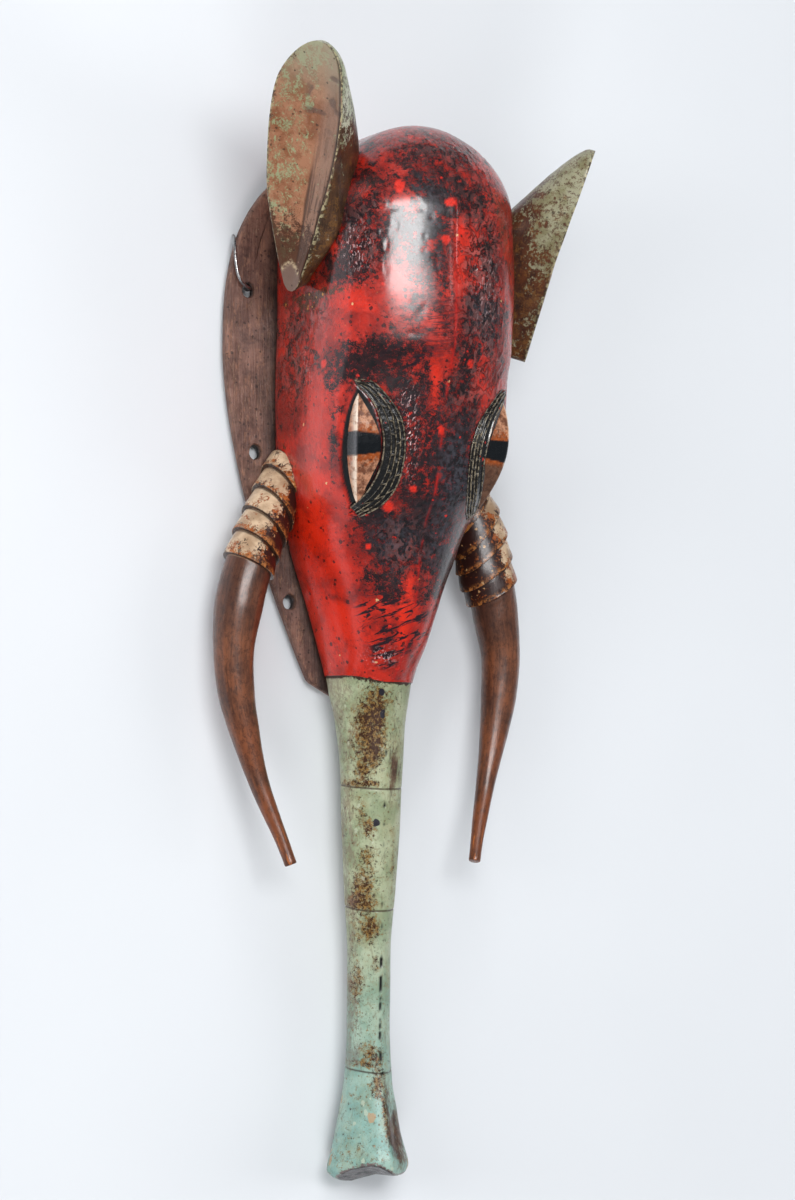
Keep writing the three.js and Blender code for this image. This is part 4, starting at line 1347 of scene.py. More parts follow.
def lacquerMaterial():
    # red lacquer under soot, steel-grey patches, brush strokes, puckers and stray specks, with painted
    # glints, sheen and shade
    gloss = {"IOR": 1.5, "Specular IOR Level": 0.22, "Coat IOR": 1.6, "Coat Roughness": 0.2}
    material, tree, shader, place = newMaterial("redLacquer", gloss)
    soot, greyAndSheen, stroke, clean, scratched = attributes(tree, "soot", "greyAndSheen", "stroke", "clean", "scratched")
    puckered, crust, inside, spot = attributes(tree, "puckered", "crust", "inside", "spot")
    middle, glints, trough = attributes(tree, "middle", "glints", "trough")

    # the red itself
    swirl = noise(tree, place, 40.0, 5.0, 0.62, 0.4)
    red = mixed(tree, between(tree, swirl, 0.38, 0.62), shade(126, 22, 14), shade(184, 38, 22))
    red = mixed(tree, times(tree, clean, between(tree, swirl, 0.25, 0.5)), red, shade(212, 38, 10))

    # soot in washes, flakes and crumbs, steel grey in patches that also stand in for a bluish sheen, with the
    # red showing through
    cluster = between(tree, noise(tree, place, 62.0, 5.0, 0.62, 0.3), 0.34, 0.66, -0.24, 0.24, smooth=False)
    amount = plus(tree, times(tree, soot, 0.72), 0.17, cluster)
    amount = math2(tree, "SUBTRACT", amount, times(tree, clean, 0.6), clamp=True)
    wash = broken(tree, place, plus(tree, amount, 0.08), 66.0, 0.08)
    flakes = broken(tree, stretched(tree, place, (1.0, 1.25, 1.0)), amount, 175.0, 0.022)
    crumbs = broken(tree, place, times(tree, amount, 0.82), 430.0, 0.025)
    dark = mixed(tree, cloudy(tree, place, 230.0, 4.0, (0.35, 0.65)), shade(8, 3, 6), shade(40, 10, 15))
    greyMottle = cloudy(tree, place, 260.0, 5.0, (0.4, 0.62), roughness=0.65)
    grey = mixed(tree, greyMottle, shade(14, 14, 18), shade(60, 60, 68))
    # steel grey over the dark, partly paint and partly a painted bluish sheen
    dark = mixed(tree, times(tree, greyAndSheen, 0.9), dark, grey)
    bareAmount = cloudy(tree, place, 34.0, 3.0, (0.4, 0.6), (0.12, 0.42))
    through = broken(tree, stretched(tree, place, (1.0, 0.8, 1.0)), bareAmount, 330.0, 0.03)
    throughRed = mixed(tree, swirl, shade(104, 14, 12), shade(180, 36, 18))

    # marks of the brush, puckers, crust and the bare hollow
    brush = strokesAlong(tree, place, -0.4, (62.0, 240.0, 62.0), 0.52, 0.56)
    fineBrush = times(tree, strokesAlong(tree, place, -0.12, (95.0, 640.0, 95.0), 0.5, 0.56), scratched)
    glint = strokesAlong(tree, place, 0.3, (620.0, 240.0, 620.0), 0.56, 0.62)
    lifted = {"Vector": stretched(tree, place, (1.0, 0.75, 1.0)), "Scale": 150.0, "Amount": puckered}
    relief = useGroup(tree, puckers, lifted)
    rusty = mixed(tree, dotted(tree, place, 300.0, 0.4, 0.4), shade(74, 40, 22), shade(188, 128, 62))
    bare = grained(tree, place, 1.0, shade(132, 100, 78), shade(70, 48, 38))
    colour = layered(tree, red, [
        (wash, 0.62, shade(82, 14, 14)),
        (crumbs, 0.85, dark),
        (flakes, 1, dark),
        (through, between(tree, greyAndSheen, 0.0, 1.0, 0.85, 0.3), throughRed),
        (brush, between(tree, stroke, 0.25, 0.6), shade(30, 8, 18)),
        (fineBrush, 0.8, shade(44, 22, 32)),
        # pale pink on the lifted islands: a dull film, and painted sheen on the raised paint
        (relief["Height"], 0.46, shade(142, 88, 84)),
        # painted shade in the creases between the puckers
        (relief["CreaseShade"], 0.85, shade(20, 6, 8)),
        (dotted(tree, place, 260.0, 0.36, 0.3), 0.8, shade(24, 7, 10)),
        (dotted(tree, place, 210.0, 0.34, 0.14), broken(tree, place, 0.4, 60.0), shade(200, 34, 18)),
        (dotted(tree, place, 130.0, 0.11, 0.1), 1, shade(206, 160, 112)),
        (spot, 1, shade(212, 38, 20)),
        (middle, 0.8, shade(176, 18, 8)),
        # painted highlights: short pale glints
        (glint, glints, shade(226, 186, 186)),
        (broken(tree, place, crust, 150.0), 1, rusty),
        (trough, 1, shade(7, 10, 12)),
        (inside, 1, bare["Colour"]),
    ])
    rough = cloudy(tree, place, 130.0, 4.0, (0.3, 0.7), (0.34, 0.48))
    rough = math2(tree, "MAXIMUM", rough, times(tree, inside, 0.74))
    tree.links.new(between(tree, inside, 0.0, 1.0, 0.85, 0.0), shader.inputs["Coat Weight"])
    creased = noise(tree, stretched(tree, place, (1.0, 0.7, 1.0)), 240.0, 6.0, 0.66, 0.5)
    height = plus(
        tree,
        times(tree, creased, 0.5),
        times(tree, flakes, -0.14),
        times(tree, relief["Height"], 1.4),
        times(tree, fineBrush, -0.2),
        times(tree, brush, stroke, -0.16),
        times(tree, bare["Height"], inside, 0.8),
    )
    finishShader(tree, shader, colour, rough, height, 0.0014)
    return material


def trunkMaterial():
    # pale green paint gone rusty along the front, dark in its cracks, bare wood on the end
    gloss = {"IOR": 1.48, "Specular IOR Level": 0.35, "Coat Weight": 0.25, "Coat Roughness": 0.22}
    material, tree, shader, place = newMaterial("greenPaint", gloss)
    rust, flank, chip, brown, ring = attributes(tree, "rust", "flank", "chip", "brown", "ring")
    crack, top, lip, tip = attributes(tree, "crack", "top", "lip", "tip")
    along = node(tree, "ShaderNodeSeparateXYZ", {"Vector": place}).outputs[1]

    # green, bluer towards the tip
    cloud = cloudy(tree, place, 45.0, 5.0, (0.36, 0.64), roughness=0.62)
    green = mixed(tree, cloud, shade(134, 146, 114), shade(168, 174, 144))
    bluish = mixed(tree, cloud, shade(116, 156, 148), shade(148, 176, 164))
    green = mixed(tree, between(tree, along, -0.16, -0.33), green, bluish)

    # rust as a film, ochre crumbs and dark clots; stains, chips and specks
    film = broken(tree, stretched(tree, place, (1.0, 0.6, 1.0)), rust, 70.0, 0.12)
    ochre = broken(tree, place, times(tree, rust, 0.8), 340.0, 0.03)
    ochreColour = mixed(tree, noise(tree, place, 300.0, 3.0), shade(116, 74, 18), shade(148, 108, 42))
    clots = broken(tree, stretched(tree, place, (1.2, 1.0, 1.0)), times(tree, rust, 0.7), 400.0, 0.02)
    stain = broken(tree, stretched(tree, place, (1.0, 0.45, 1.0)), times(tree, flank, 0.62), 190.0, 0.06)
    worn = broken(tree, stretched(tree, place, (1.0, 0.35, 1.0)), brown, 130.0, 0.1)
    streak = grained(tree, place, 1.3, shade(104, 78, 60), shade(40, 26, 26))
    pale = dotted(tree, stretched(tree, place, (1.0, 0.7, 1.0)), 240.0, 0.34, 0.1)
    tan = dotted(tree, stretched(tree, place, (1.0, 0.55, 1.0)), 110.0, 0.3, 0.22)
    lipColour = mixed(tree, noise(tree, place, 280.0, 3.0), shade(60, 50, 50), shade(150, 128, 124))
    fibres = cloudy(tree, stretched(tree, place, (0.6, 1.0, 1.4)), 260.0, 5.0, (0.4, 0.62), roughness=0.7)
    colour = layered(tree, green, [
        (film, 0.4, shade(140, 126, 80)),
        (ochre, 0.85, ochreColour),
        (clots, 1, shade(52, 26, 8)),
        (stain, 0.5, shade(112, 84, 74)),
        (between(tree, chip, 0.35, 0.5), 1, shade(34, 32, 40)),
        (worn, 1, streak["Colour"]),
        (dotted(tree, place, 380.0, 0.32, 0.16), 0.7, shade(92, 72, 44)),
        (pale, 0.5, shade(186, 190, 168)),
        (tan, between(tree, along, -0.27, -0.31, 0.0, 0.7), shade(176, 138, 100)),
        (ring, cloudy(tree, place, 180.0, 3.0, (0.3, 0.5), (0.5, 1.0)), shade(62, 44, 32)),
        (crack, 1, shade(10, 8, 8)),
        (broken(tree, place, top, 160.0), 1, shade(52, 36, 26)),
        (broken(tree, place, times(tree, lip, 0.75), 240.0), 1, lipColour),
        (tip, 1, mixed(tree, fibres, shade(34, 33, 35), shade(96, 92, 92))),
    ])
    rough = cloudy(tree, place, 150.0, 4.0, (0.3, 0.7), (0.3, 0.5))
    grain = times(tree, noise(tree, place, 280.0, 6.0, 0.66), 0.6)
    height = plus(tree, grain, times(tree, math2(tree, "MAXIMUM", ochre, clots), -0.3))
    finishShader(tree, shader, colour, rough, height, 0.0005)
    return material


def barkMaterial():
    # dry dark wood with fibres along the mask, scratches and stains
    material, tree, shader, place = newMaterial("bareWood", {"IOR": 1.45})
    crust, hole = attributes(tree, "crust", "hole")
    wood = grained(tree, place, 1.0, shade(134, 98, 84), shade(82, 56, 49))
    scratch = useGroup(tree, scratches, {"Vector": place, "Amount": 0.7})["Mask"]
    colour = layered(tree, wood["Colour"], [
        (cloudy(tree, place, 30.0, 5.0, (0.42, 0.66), (0.0, 0.55)), 1, shade(82, 58, 52)),
        (broken(tree, stretched(tree, place, (1.0, 0.3, 1.0)), 0.3, 190.0), 0.5, shade(156, 112, 88)),
        (scratch, 0.6, shade(158, 126, 104)),
        (broken(tree, place, 0.26, 85.0, 0.08), 0.6, shade(52, 36, 33)),
        (dotted(tree, place, 330.0, 0.34, 0.3), 0.7, shade(34, 22, 20)),
        # darker along the foot of the head
        (crust, 1, shade(30, 21, 20)),
        # painted shade inside the lashing holes
        (hole, 1, shade(26, 18, 15)),
    ])
    rough = between(tree, wood["Fibre"], 0.0, 1.0, 0.62, 0.46)
    height = plus(tree, wood["Height"], noise(tree, place, 320.0, 4.0), times(tree, scratch, -0.5))
    finishShader(tree, shader, colour, rough, height, 0.0005)
    return material


def earMaterial(name, face, flank):
    # a painted, dished face, worn along its crease; a side that darkens downwards; pale rims
    gloss = {"IOR": 1.48, "Specular IOR Level": 0.35, "Coat Weight": 0.3, "Coat Roughness": 0.18}
    material, tree, shader, place = newMaterial(name, gloss)
    straight = attribute(tree, "straight", 1)
    isFace, up, rim, across, deep = attributes(tree, "face", "up", "rim", "side", "deep")
    crease, mark, foot, chip, groove = attributes(tree, "crease", "mark", "foot", "chip", "groove")

    # the dished face: green flecks on the left, streaks on the right, dirt towards the foot
    blotch = noise(tree, place, 60.0, 6.0, 0.66)
    flat = stretched(tree, place, (1.0, 0.8, 1.0))
    left = between(tree, across, 0.35, -0.1, 0.14, 0.4)
    flecks = broken(tree, flat, plus(tree, left, between(tree, up, 0.8, 1.0, 0.0, 0.3)), 165.0, 0.04)
    crumbs = broken(tree, flat, plus(tree, times(tree, left, 0.6), 0.16), 300.0, 0.04)
    drawn = noise(tree, stretched(tree, straight, (420.0, 22.0, 420.0)), 1.0, 4.0, 0.6)
    onRight = between(tree, across, 0.1, 0.35)
    streaks = times(tree, between(tree, drawn, 0.5, 0.58), onRight, between(tree, up, 0.75, 0.4))
    dirty = plus(tree, between(tree, up, 0.42, 0.1), between(tree, across, -0.75, -1.0, 0.0, 0.4))
    dirt = broken(tree, place, dirty, 250.0, 0.03)
    painted = mixed(tree, between(tree, blotch, 0.38, 0.6), face["low"], face["high"])
    painted = layered(tree, painted, [
        (between(tree, across, 0.15, 0.6, 0.0, 0.7), 1, face["right"]),
        (flecks, 0.8, face["green"]),
        (crumbs, 0.55, shade(112, 68, 44)),
        (between(tree, up, 0.7, 1.0, 0.0, 0.6), 1, shade(146, 142, 118)),
        (streaks, 0.7, shade(70, 46, 34)),
        (dirt, 0.9, shade(64, 36, 22)),
        (crease, 0.8, shade(58, 38, 28)),
        (mark, 0.7, shade(84, 66, 58)),
        (foot, 1, shade(104, 82, 72)),
        (chip, cloudy(tree, place, 420.0, 4.0, (0.38, 0.5)), shade(174, 154, 124)),
        (groove, 1, shade(18, 14, 12)),
    ])

    # the side: paint that thins towards the foot and the back, over stained wood
    grain = grained(tree, straight, 1.0, flank["brown"], flank["dark"])
    paint = mixed(tree, cloudy(tree, place, 90.0, 4.0, (0.4, 0.6)), flank["paint"], flank["pale"])
    higher = between(tree, up, flank["bare"], flank["full"], flank["least"], 1.0)
    kept = plus(tree, higher, between(tree, deep, 0.1, 0.9, 0.1, -flank["fall"]))
    cover = broken(tree, stretched(tree, straight, (1.0, 0.8, 1.0)), kept, 120.0, 0.02)
    stained = mixed(tree, noise(tree, place, 200.0, 3.0), flank["dark"], flank["brown"])
    ochre = broken(tree, straight, between(tree, up, 0.9, 0.2, 0.1, 0.45), 190.0)
    side = layered(tree, grain["Colour"], [
        (cover, 1, paint),
        (broken(tree, straight, 0.42, 340.0, 0.02), 0.85, stained),
        (ochre, 0.55, shade(120, 82, 40)),
    ])

    speckle = cloudy(tree, straight, 330.0, 3.0, (0.46, 0.52))
    rimColour = mixed(tree, speckle, shade(52, 42, 30), shade(172, 164, 128))
    colour = layered(tree, side, [
        (isFace, 1, painted),
        (rim, cloudy(tree, place, 240.0, 4.0, (0.36, 0.46)), rimColour),
        (dotted(tree, place, 330.0, 0.32, 0.2), 0.7, shade(44, 30, 22)),
    ])
    rough = between(tree, blotch, 0.3, 0.7, 0.3, 0.46)
    height = plus(
        tree,
        times(tree, noise(tree, straight, 300.0, 6.0, 0.66), 0.6),
        times(tree, grain["Height"], 0.3),
        times(tree, cover, 0.2),
        times(tree, dirt, -0.25),
    )
    finishShader(tree, shader, colour, rough, height, 0.0006)
    return material


def tuskMaterial():
    # dark satin wood, streaked a little along the tusk, and cream paint on the bands worn to rust
    gloss = {"IOR": 1.5, "Specular IOR Level": 0.3, "Coat Weight": 0.4, "Coat Roughness": 0.2}
    material, tree, shader, place = newMaterial("tuskWood", gloss)
    straight = attribute(tree, "straight", 1)
    band, edge, inward, run = attributes(tree, "band", "edge", "inward", "run")

    # the bare wood, warmer towards the tip
    wood = grained(tree, straight, 0.7, shade(120, 72, 48), shade(61, 38, 30))
    warm = times(tree, between(tree, run, 0.38, 0.9), cloudy(tree, straight, 26.0, 4.0, (0.4, 0.62)))
    flecks = broken(tree, stretched(tree, straight, (1.0, 0.5, 1.0)), 0.42, 420.0, 0.05)
    drawn = noise(tree, stretched(tree, straight, (500.0, 40.0, 500.0)), 1.0, 3.0)
    tipStreaks = times(tree, between(tree, drawn, 0.54, 0.6), between(tree, run, 0.86, 0.97))
    colour = layered(tree, wood["Colour"], [
        (warm, 0.7, shade(122, 66, 38)),
        (between(tree, run, 0.5, 0.34, 0.0, 0.4), 1, shade(62, 42, 36)),
        (flecks, 0.55, shade(38, 24, 20)),
        (tipStreaks, 0.8, shade(170, 98, 52)),
    ])

    # the painted bands, most worn towards the head, on their lower edges and on the last ones
    cream = cloudy(tree, place, 90.0, 4.0, (0.35, 0.65))
    outerWear = between(tree, edge, 0.35, 1.0, 0.0, 0.3)
    wear = plus(tree, outerWear, between(tree, inward, -0.55, 0.65, 0.0, 0.95), 0.2)
    amount = math2(tree, "ADD", wear, between(tree, run, 0.22, 0.33, 0.0, 0.3), clamp=True)
    rust = broken(tree, place, amount, 165.0, 0.025)
    rustColour = mixed(tree, noise(tree, place, 250.0, 4.0, 0.65), shade(104, 46, 16), shade(182, 100, 44))
    lowEdge = times(tree, between(tree, edge, 0.62, 0.9), broken(tree, place, 0.5, 300.0), rust)
    glint = times(tree, dotted(tree, place, 330.0, 0.36, 0.22), rust)
    paint = layered(tree, mixed(tree, cream, shade(200, 174, 144), shade(158, 130, 102)), [
        (rust, 1, rustColour),
        (broken(tree, place, times(tree, amount, 0.86), 130.0, 0.03), 1, shade(44, 22, 18)),
        (lowEdge, 0.8, shade(176, 112, 58)),
        # painted glints: pale specks on the rusty paint
        (glint, 0.8, shade(206, 160, 110)),
        # painted shadow: dark lines on each band's step and just under the lip of the band above
        (between(tree, edge, 0.98, 1.0, 0.0, 0.9), 1, shade(40, 24, 20)),
        (between(tree, edge, 0.13, 0.03, 0.0, 0.85), 1, shade(38, 24, 20)),
    ])
    colour = mixed(tree, band, colour, paint)
    rough = cloudy(tree, straight, 160.0, 4.0, (0.3, 0.7), (0.28, 0.44))
    height = plus(
        tree,
        times(tree, wood["Height"], 0.4),
        times(tree, rust, band, -0.45),
        times(tree, noise(tree, straight, 330.0, 4.0), 0.35),
    )
    finishShader(tree, shader, colour, rough, height, 0.0005)
    return material


def eyeMaterial():
    # tan paint going orange brown towards the black pupil band, a painted highlight along the ridge, and
    # painted shade on the right eye below its pupil
    gloss = {"IOR": 1.5, "Specular IOR Level": 0.3, "Coat Weight": 0.6, "Coat Roughness": 0.08}
    material, tree, shader, place = newMaterial("eyePaint", gloss)
    pupil, near, outerFacet = attributes(tree, "pupil", "nearPupil", "outerFacet")
    ridge, stain, edge = attributes(tree, "ridge", "stain", "edge")
    mottle = cloudy(tree, place, 200.0, 6.0, (0.4, 0.6), roughness=0.7)
    orange = mixed(tree, noise(tree, place, 400.0, 3.0), shade(92, 40, 14), shade(178, 88, 34))
    lowerShadeColour = mixed(tree, noise(tree, place, 260.0, 4.0), shade(34, 24, 20), shade(92, 62, 46))
    colour = layered(tree, mixed(tree, mottle, shade(104, 64, 46), shade(186, 134, 104)), [
        (outerFacet, 0.55, shade(160, 104, 62)),
        (broken(tree, place, near, 320.0, 0.06), 1, orange),
        (dotted(tree, place, 480.0, 0.42, 0.4), 0.6, shade(44, 24, 18)),
        # painted highlight along the ridge
        (ridge, cloudy(tree, place, 300.0, 3.0, (0.36, 0.5), (0.3, 1.0)), shade(228, 208, 188)),
        # painted shade on the right eye below its pupil
        (stain, 0.85, lowerShadeColour),
        (pupil, 1, shade(9, 13, 17)),
        # painted highlight along the ridge where it crosses the pupil
        (times(tree, pupil, ridge), 0.6, shade(96, 96, 100)),
        (edge, 1, shade(14, 14, 15)),
    ])
    rough = cloudy(tree, place, 220.0, 3.0, (0.3, 0.7), (0.2, 0.34))
    finishShader(tree, shader, colour, rough, noise(tree, place, 380.0, 5.0), 0.0004)
    return material


def bandMaterial():
    # blackened wood, rubbed grey on the ridges that stand up between the cells
    gloss = {"IOR": 1.5, "Specular IOR Level": 0.4, "Coat Weight": 0.9, "Coat Roughness": 0.12}
    material, tree, shader, place = newMaterial("cutBand", gloss)
    raised, cells = attributes(tree, "raised", "cells")
    mottle = cloudy(tree, place, 360.0, 5.0, (0.42, 0.6), roughness=0.65)
    greyMottle = mixed(tree, mottle, shade(44, 39, 33), shade(136, 124, 104))
    plain = mixed(tree, noise(tree, place, 200.0, 4.0), shade(5, 6, 7), shade(20, 18, 18))
    outsideCells = between(tree, cells, 0.5, 0.0, 0.0, 1.0)
    colour = layered(tree, plain, [
        (between(tree, raised, 0.3, 0.7), 1, greyMottle),
        (dotted(tree, place, 330.0, 0.4, 0.16), outsideCells, shade(150, 34, 24)),
        (dotted(tree, place, 300.0, 0.3, 0.03), 1, shade(150, 36, 26)),
    ])
    rough = cloudy(tree, place, 260.0, 3.0, (0.3, 0.7), (0.2, 0.36))
    finishShader(tree, shader, colour, rough, noise(tree, place, 480.0, 5.0), 0.0005)
    return material


def wireMaterial():
    # dull zinc with darker spots, drawn along its length
    material, tree, shader, place = newMaterial("dullWire", {"Metallic": 1.0})
    grey = mixed(tree, noise(tree, place, 500.0, 4.0), shade(128, 128, 128), shade(196, 196, 196))
    colour = layered(tree, grey, [(broken(tree, place, 0.3, 420.0), 0.6, shade(84, 72, 62))])
    rough = cloudy(tree, place, 700.0, 3.0, (0.3, 0.7), (0.24, 0.42))
    height = noise(tree, stretched(tree, place, (1.0, 0.2, 1.0)), 1500.0, 3.0)
    finishShader(tree, shader, colour, rough, height, 0.0001)
    return material


# the pieces
def dressHead():
    # the head with its hollow, and where each colour and each kind of wear lies on it
    head = makeHead()
    cutAway(head, [makeHollow()])
    places = pointsOf(head)
    x, y, z = places.T
    for key, patches in headPatches.items():
        store(head, key, patchField(places, patches))
    store(head, "spot", spotField(places, headSpots) * (z > 40))
    store(head, "trough", besideEye(places))
    middleLine = np.exp(-((x / 0.7) ** 2)) * ease(40, 50, z) * (1 - ease(250, 262, y))
    store(head, "middle", middleLine * ease(-0.4, 0.3, lumps(places * [0, 1, 0], 7.0, 17)))
    # bare wood inside 0.93 of the cross-section's superellipse
    half, mid, power, reach = crossAt(places)
    level = ((np.abs(x) / half) ** power + (np.abs(z - mid) / reach) ** power) ** (1 / power)
    store(head, "inside", (level < 0.93).astype(float) * ease(-20, 0, y) * ease(292, 288, y))
    finishPiece(head, lacquerMaterial(), 50)


# where the trunk is worn: place across from the keel, place along, reach across, reach along,
# strength
trunkPatches = {
    "rust": [
        (-15, -82, 11, 27, 0.85), (-8, -74, 7, 20, 1.0), (-8, -98, 7, 14, 0.9), (-15, -113, 7, 9, 0.75),
        (-16, -121, 16, 2.5, 0.85), (4, -66, 5, 8, 0.45), (-16, -140, 5, 10, 0.5), (-10, -150, 6, 7, 0.8),
        (-28, -152, 4, 24, 0.5), (-11, -168, 8, 8, 0.6), (-13, -190, 10, 17, 0.85), (-15, -200, 14, 4, 0.75),
        (6, -165, 3, 40, 0.45), (-8, -217, 9, 11, 0.85), (-4, -241, 4, 9, 0.6), (-16, -251, 6, 14, 0.6),
        (-7, -299, 10, 9, 0.7), (-13, -306, 14, 3, 0.7), (-3, -318, 5, 12, 0.7), (-0.5, -342, 2.6, 20, 0.8),
        (-8, -322, 8, 8, 0.4), (-20, -230, 6, 30, 0.4), (-18, -275, 8, 20, 0.35),
    ],
    "brown": [
        (4, -350, 4, 18, 1.15), (9, -352, 4, 16, 0.6), (1.5, -330, 2.4, 18, 0.7),
        (4.6, -108, 3.6, 17, 0.95), (11, -366, 4, 8, 0.5),
    ],
    "chip": [(-5.6, -60.9, 1.9, 2.6, 1.0), (-3.6, -75.2, 1.9, 3.2, 1.0), (-5.8, -147.0, 2.5, 2.5, 1.0)],
}


def beyondKeel(points, patches):
    # the soft patches, laid out from the line down the trunk's front
    keel = viewTurn["sine"] * headFront(0 * points[:, 0], np.clip(points[:, 1], -378, -60))
    moved = points.copy()
    moved[:, 0] = points[:, 0] - keel / viewTurn["cosine"]
    return patchField(moved, patches)


def dressTrunk():
    trunk = makeTrunk()
    places = pointsOf(trunk)
    out, along = np.abs(places[:, 0]), places[:, 1]
    rust, brown, chip = (beyondKeel(places, trunkPatches[key]) for key in ("rust", "brown", "chip"))
    store(trunk, "rust", np.clip(np.maximum(rust, 0.27) + 0.08 * lumps(places, 20.0, 36), 0, 1))
    store(trunk, "brown", np.clip(brown, 0, 1))
    store(trunk, "chip", np.clip(chip + 0.34 * lumps(places, 2.2, 38) * (chip > 0.15), 0, 1))
    # stained where it turns away at both sides, more so where the trunk is thinner
    outer = out / out.max() * (1 + 0.9 * ease(-60, -330, along))
    store(trunk, "flank", ease(0.35, 0.95, outer) * ease(-322, -300, along))
    border = headShape["borderRise"] * ease(0.1, 1.0, -places[:, 0] / 30.0)
    store(trunk, "top", ease(-57.0, -54.0, along - border))
    finishPiece(trunk, trunkMaterial(), 50)


def dressFlange():
    # darker along the foot of the head, and painted shade in the lashing holes
    f = flangeShape
    flange = makeFlange()
    places = pointsOf(flange)
    out, along, z = np.abs(places[:, 0]), places[:, 1], places[:, 2]
    half = sectionAt(np.clip(along, -60, headShape["readTo"]))[0]
    store(flange, "crust", 0.8 * np.exp(-np.clip(out - half, 0, None) / 4.0) * (z > -3))
    hole = np.zeros(len(places))
    for x, y in f["holes"]:
        away = np.hypot(out - x, (along - y) / f["holeLength"])
        hole = np.maximum(hole, away < f["holeRadius"] + 0.5)
    store(flange, "hole", hole * ease(-1.0, -3.0, z))
    finishPiece(flange, barkMaterial(), 42)


earPaints = {
    "left": {
        "face": {
            "low": shade(122, 76, 50), "high": shade(152, 106, 80), "right": shade(134, 106, 90),
            "green": shade(136, 150, 114),
        },
        "flank": {
            "paint": shade(148, 154, 122), "pale": shade(188, 188, 166), "brown": shade(88, 60, 40),
            "dark": shade(34, 23, 17), "bare": 0.5, "full": 0.95, "least": 0.06, "fall": 0.1,
        },
    },
    "right": {
        "face": {
            "low": shade(140, 106, 74), "high": shade(166, 140, 108), "right": shade(144, 120, 96),
            "green": shade(150, 160, 118),
        },
        "flank": {
            "paint": shade(116, 112, 82), "pale": shade(142, 140, 114), "brown": shade(98, 56, 30),
            "dark": shade(38, 24, 22), "bare": 0.14, "full": 0.98, "least": 0.26, "fall": 0.44,
        },
    },
}


def dressEar(name, seed):
    # a dark crease, small marks, and a bare foot under an arch with a chipped edge
    ear = makeEar("ear_" + name, earShape[name], seed)
    across, up, face = (readField(ear, key) for key in ("side", "up", "face"))
    straight = readField(ear, "straight", 3) * layout["perMetre"]
    crease = np.exp(-(((across - earShape["crease"]) / 0.05) ** 2))
    store(ear, "crease", crease * (1 - ease(0.42, 0.6, up)) * ease(0.06, 0.1, up))
    store(ear, "mark", earMarks(straight, up, seed, 0.5) * ease(-0.3, 0.0, across) * face)
    arch = 0.115 - 0.05 * np.abs(across + 0.1)
    store(ear, "foot", ease(0.004, -0.004, up - arch) * face)
    chip = np.exp(-(((up - arch) / 0.007) ** 2)) * (np.abs(across + 0.1) < 0.75)
    store(ear, "chip", chip * face)
    finishPiece(ear, earMaterial(name + "EarPaint", **earPaints[name]), 45)


def dressEye(name, side, paint):
    # the pupil is a dark band between two sloping edges, low and high
    eye = makeEye("eye_" + name, side)
    places = pointsOf(eye)
    out = np.abs(places[:, 0])
    inner, middle, outer = eyeOutline(places[:, 1])
    fromRidge = out - (middle + eyeShape["ridge"][0] * (outer - middle) / eyeShape["outer"][0])
    inward = np.clip(-fromRidge, 0, 16)
    low = 89.4 + 0.14 * inward
    high = 104.6 - 0.07 * inward
    y = places[:, 1] + 0.5 * lumps(places, 5.0, 72)
    store(eye, "pupil", ease(low - 0.3, low + 0.3, y) * (1 - ease(high - 0.3, high + 0.3, y)))
    store(eye, "nearPupil", np.clip(np.exp(-(((y - 97.0) / 12.5) ** 2)) * 1.15, 0, 1))
    store(eye, "outerFacet", ease(0, 1.2, fromRidge))
    # where the painted highlight along the ridge lies
    store(eye, "ridge", np.exp(-((fromRidge / 0.55) ** 2)))
    # painted shade on the right eye below its pupil
    store(eye, "stain", (side > 0) * ease(90, 86, y))
    store(eye, "edge", 1 - ease(0.3, 0.9, out - inner))
    finishPiece(eye, paint, 45)


dressHead()
dressTrunk()
dressFlange()
for name, seed in (("left", 81), ("right", 91)):
    dressEar(name, seed)
tuskPaint = tuskMaterial()
for name, side, seed in (("left", -1, 101), ("right", 1, 111)):
    finishPiece(makeTusk("tusk_" + name, name, side, seed), tuskPaint, 40)
eyePaint, bandPaint = eyeMaterial(), bandMaterial()
for name, side in (("left", -1), ("right", 1)):
    dressEye(name, side, eyePaint)
    finishPiece(makeBand("eye_band_" + name, side), bandPaint, 50)
finishPiece(makeWire(), wireMaterial(), 60, "hanging_wire")


# floor, light and camera
studio = {
    "floor": 6.0,
    "under": 0.0003,  # how far the floor lies under the mask
    "aim": (0, 0, 0.05),
    "world": (0.88, 0.94, 1.0, 1.0),
    "worldStrength": 0.19,
    "lamps": [
        # name, place, size, power, seen in the lacquer, lighting what isn't shiny
        ("overhead", (-0.54, 0.66, 2.25), (1.6, 0.75), 34.0, True, True),
        ("glow", (-0.44, 0.62, 2.27), (2.2, 0.62), 15.0, True, False),
        ("low", (-0.6, -2.2, 1.5), (1.4, 0.8), 28.0, False, True),
        ("high", (-0.35, 2.4, 1.3), (1.4, 0.8), 20.0, False, True),
        ("leftSoft", (-2.0, 0.2, 0.9), (0.9, 1.6), 20.0, False, True),
        ("rightSoft", (1.9, -0.2, 1.1), (0.9, 1.4), 14.0, False, True),
    ],
}


def makeFloor():
    material, tree, shader, place = newMaterial("paleFloor", {"Roughness": 0.75, "IOR": 1.3})
    tint = mixed(tree, cloudy(tree, place, 3.0, 2.0, (0.3, 0.7)), shade(214, 217, 221), shade(217, 220, 224))
    tree.links.new(tint, shader.inputs["Base Color"])
    half, z = studio["floor"] / 2, -studio["under"]
    mesh = bpy.data.meshes.new("floor")
    corners = [(-half, -half, z), (half, -half, z), (half, half, z), (-half, half, z)]
    mesh.from_pydata(corners, [], [(0, 1, 2, 3)])
    floor = bpy.data.objects.new("floor", mesh)
    mesh.materials.append(material)
    bpy.context.scene.collection.objects.link(floor)


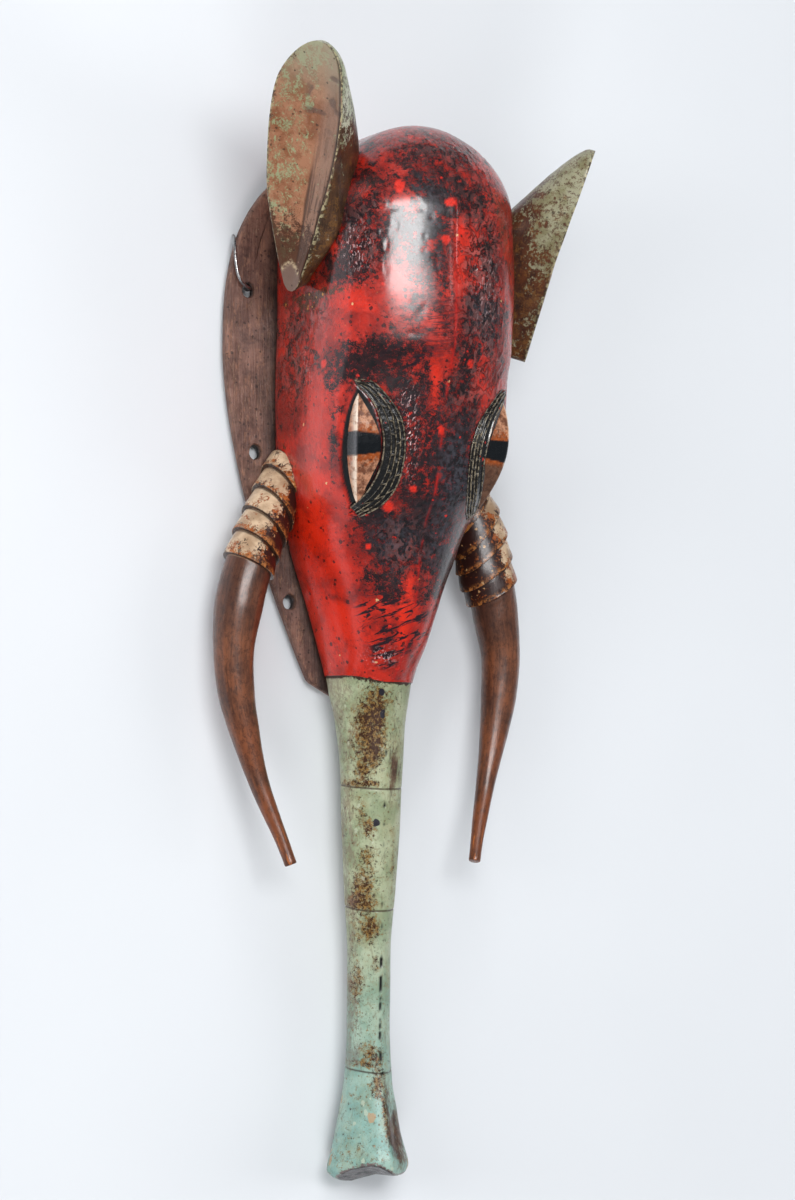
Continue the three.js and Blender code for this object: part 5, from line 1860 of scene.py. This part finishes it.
def aimAt(thing, target):
    away = np.array(thing.location) - np.array(target)
    tilt = math.acos(away[2] / np.linalg.norm(away))
    thing.rotation_euler = (tilt, 0, math.atan2(away[1], away[0]) + math.pi / 2)


def aimLevel(thing, target):
    # as aimAt, with its long side kept level with the mask's width
    away = unit(np.array(thing.location) - np.array(target))
    side = unit(np.cross((0.0, 1.0, 0.0), away))
    thing.rotation_euler = Matrix(np.stack([side, np.cross(away, side), away], 1).tolist()).to_euler()


def makeLights():
    world = bpy.data.worlds.new("studio")
    bpy.context.scene.world = world
    world.use_nodes = True
    background = world.node_tree.nodes["Background"]
    background.inputs[0].default_value = studio["world"]
    background.inputs[1].default_value = studio["worldStrength"]
    for name, place, size, power, seen, lighting in studio["lamps"]:
        data = bpy.data.lights.new(name, "AREA")
        data.shape, data.size, data.size_y, data.energy = "ELLIPSE", size[0], size[1], power
        lamp = bpy.data.objects.new(name, data)
        lamp.location = place
        lamp.visible_glossy = seen
        lamp.visible_diffuse = lighting
        bpy.context.scene.collection.objects.link(lamp)
        (aimLevel if seen else aimAt)(lamp, studio["aim"])


viewpoint = {
    "azimuth": 30.0,
    "elevation": -3.0,
    "distance": 1.98,
    "target": (0.0, 0.0210963, 0.06148),
    "lens": 90.0,
    "sensor": 36.0,
    "clip": (0.05, 30.0),
}


def makeCamera():
    # stands over the mask, turned towards its left side and a little below its middle
    v = viewpoint
    a, e = math.radians(v["azimuth"]), math.radians(v["elevation"])
    back = np.array([-math.sin(a) * math.cos(e), math.sin(e), math.cos(a) * math.cos(e)])
    right = np.array([math.cos(a), 0, math.sin(a)])
    place = np.array(v["target"]) + back * v["distance"]
    data = bpy.data.cameras.new("view")
    data.lens, data.sensor_width = v["lens"], v["sensor"]
    data.clip_start, data.clip_end = v["clip"]
    camera = bpy.data.objects.new("view", data)
    bpy.context.scene.collection.objects.link(camera)
    turned = np.eye(4)
    turned[:3] = np.stack([right, np.cross(back, right), back, place], 1)
    camera.matrix_world = Matrix(turned.tolist())
    bpy.context.scene.camera = camera


makeFloor()
makeLights()
makeCamera()
bpy.context.scene.view_settings.view_transform = "Standard"
print("set the floor, the lamps and the camera")
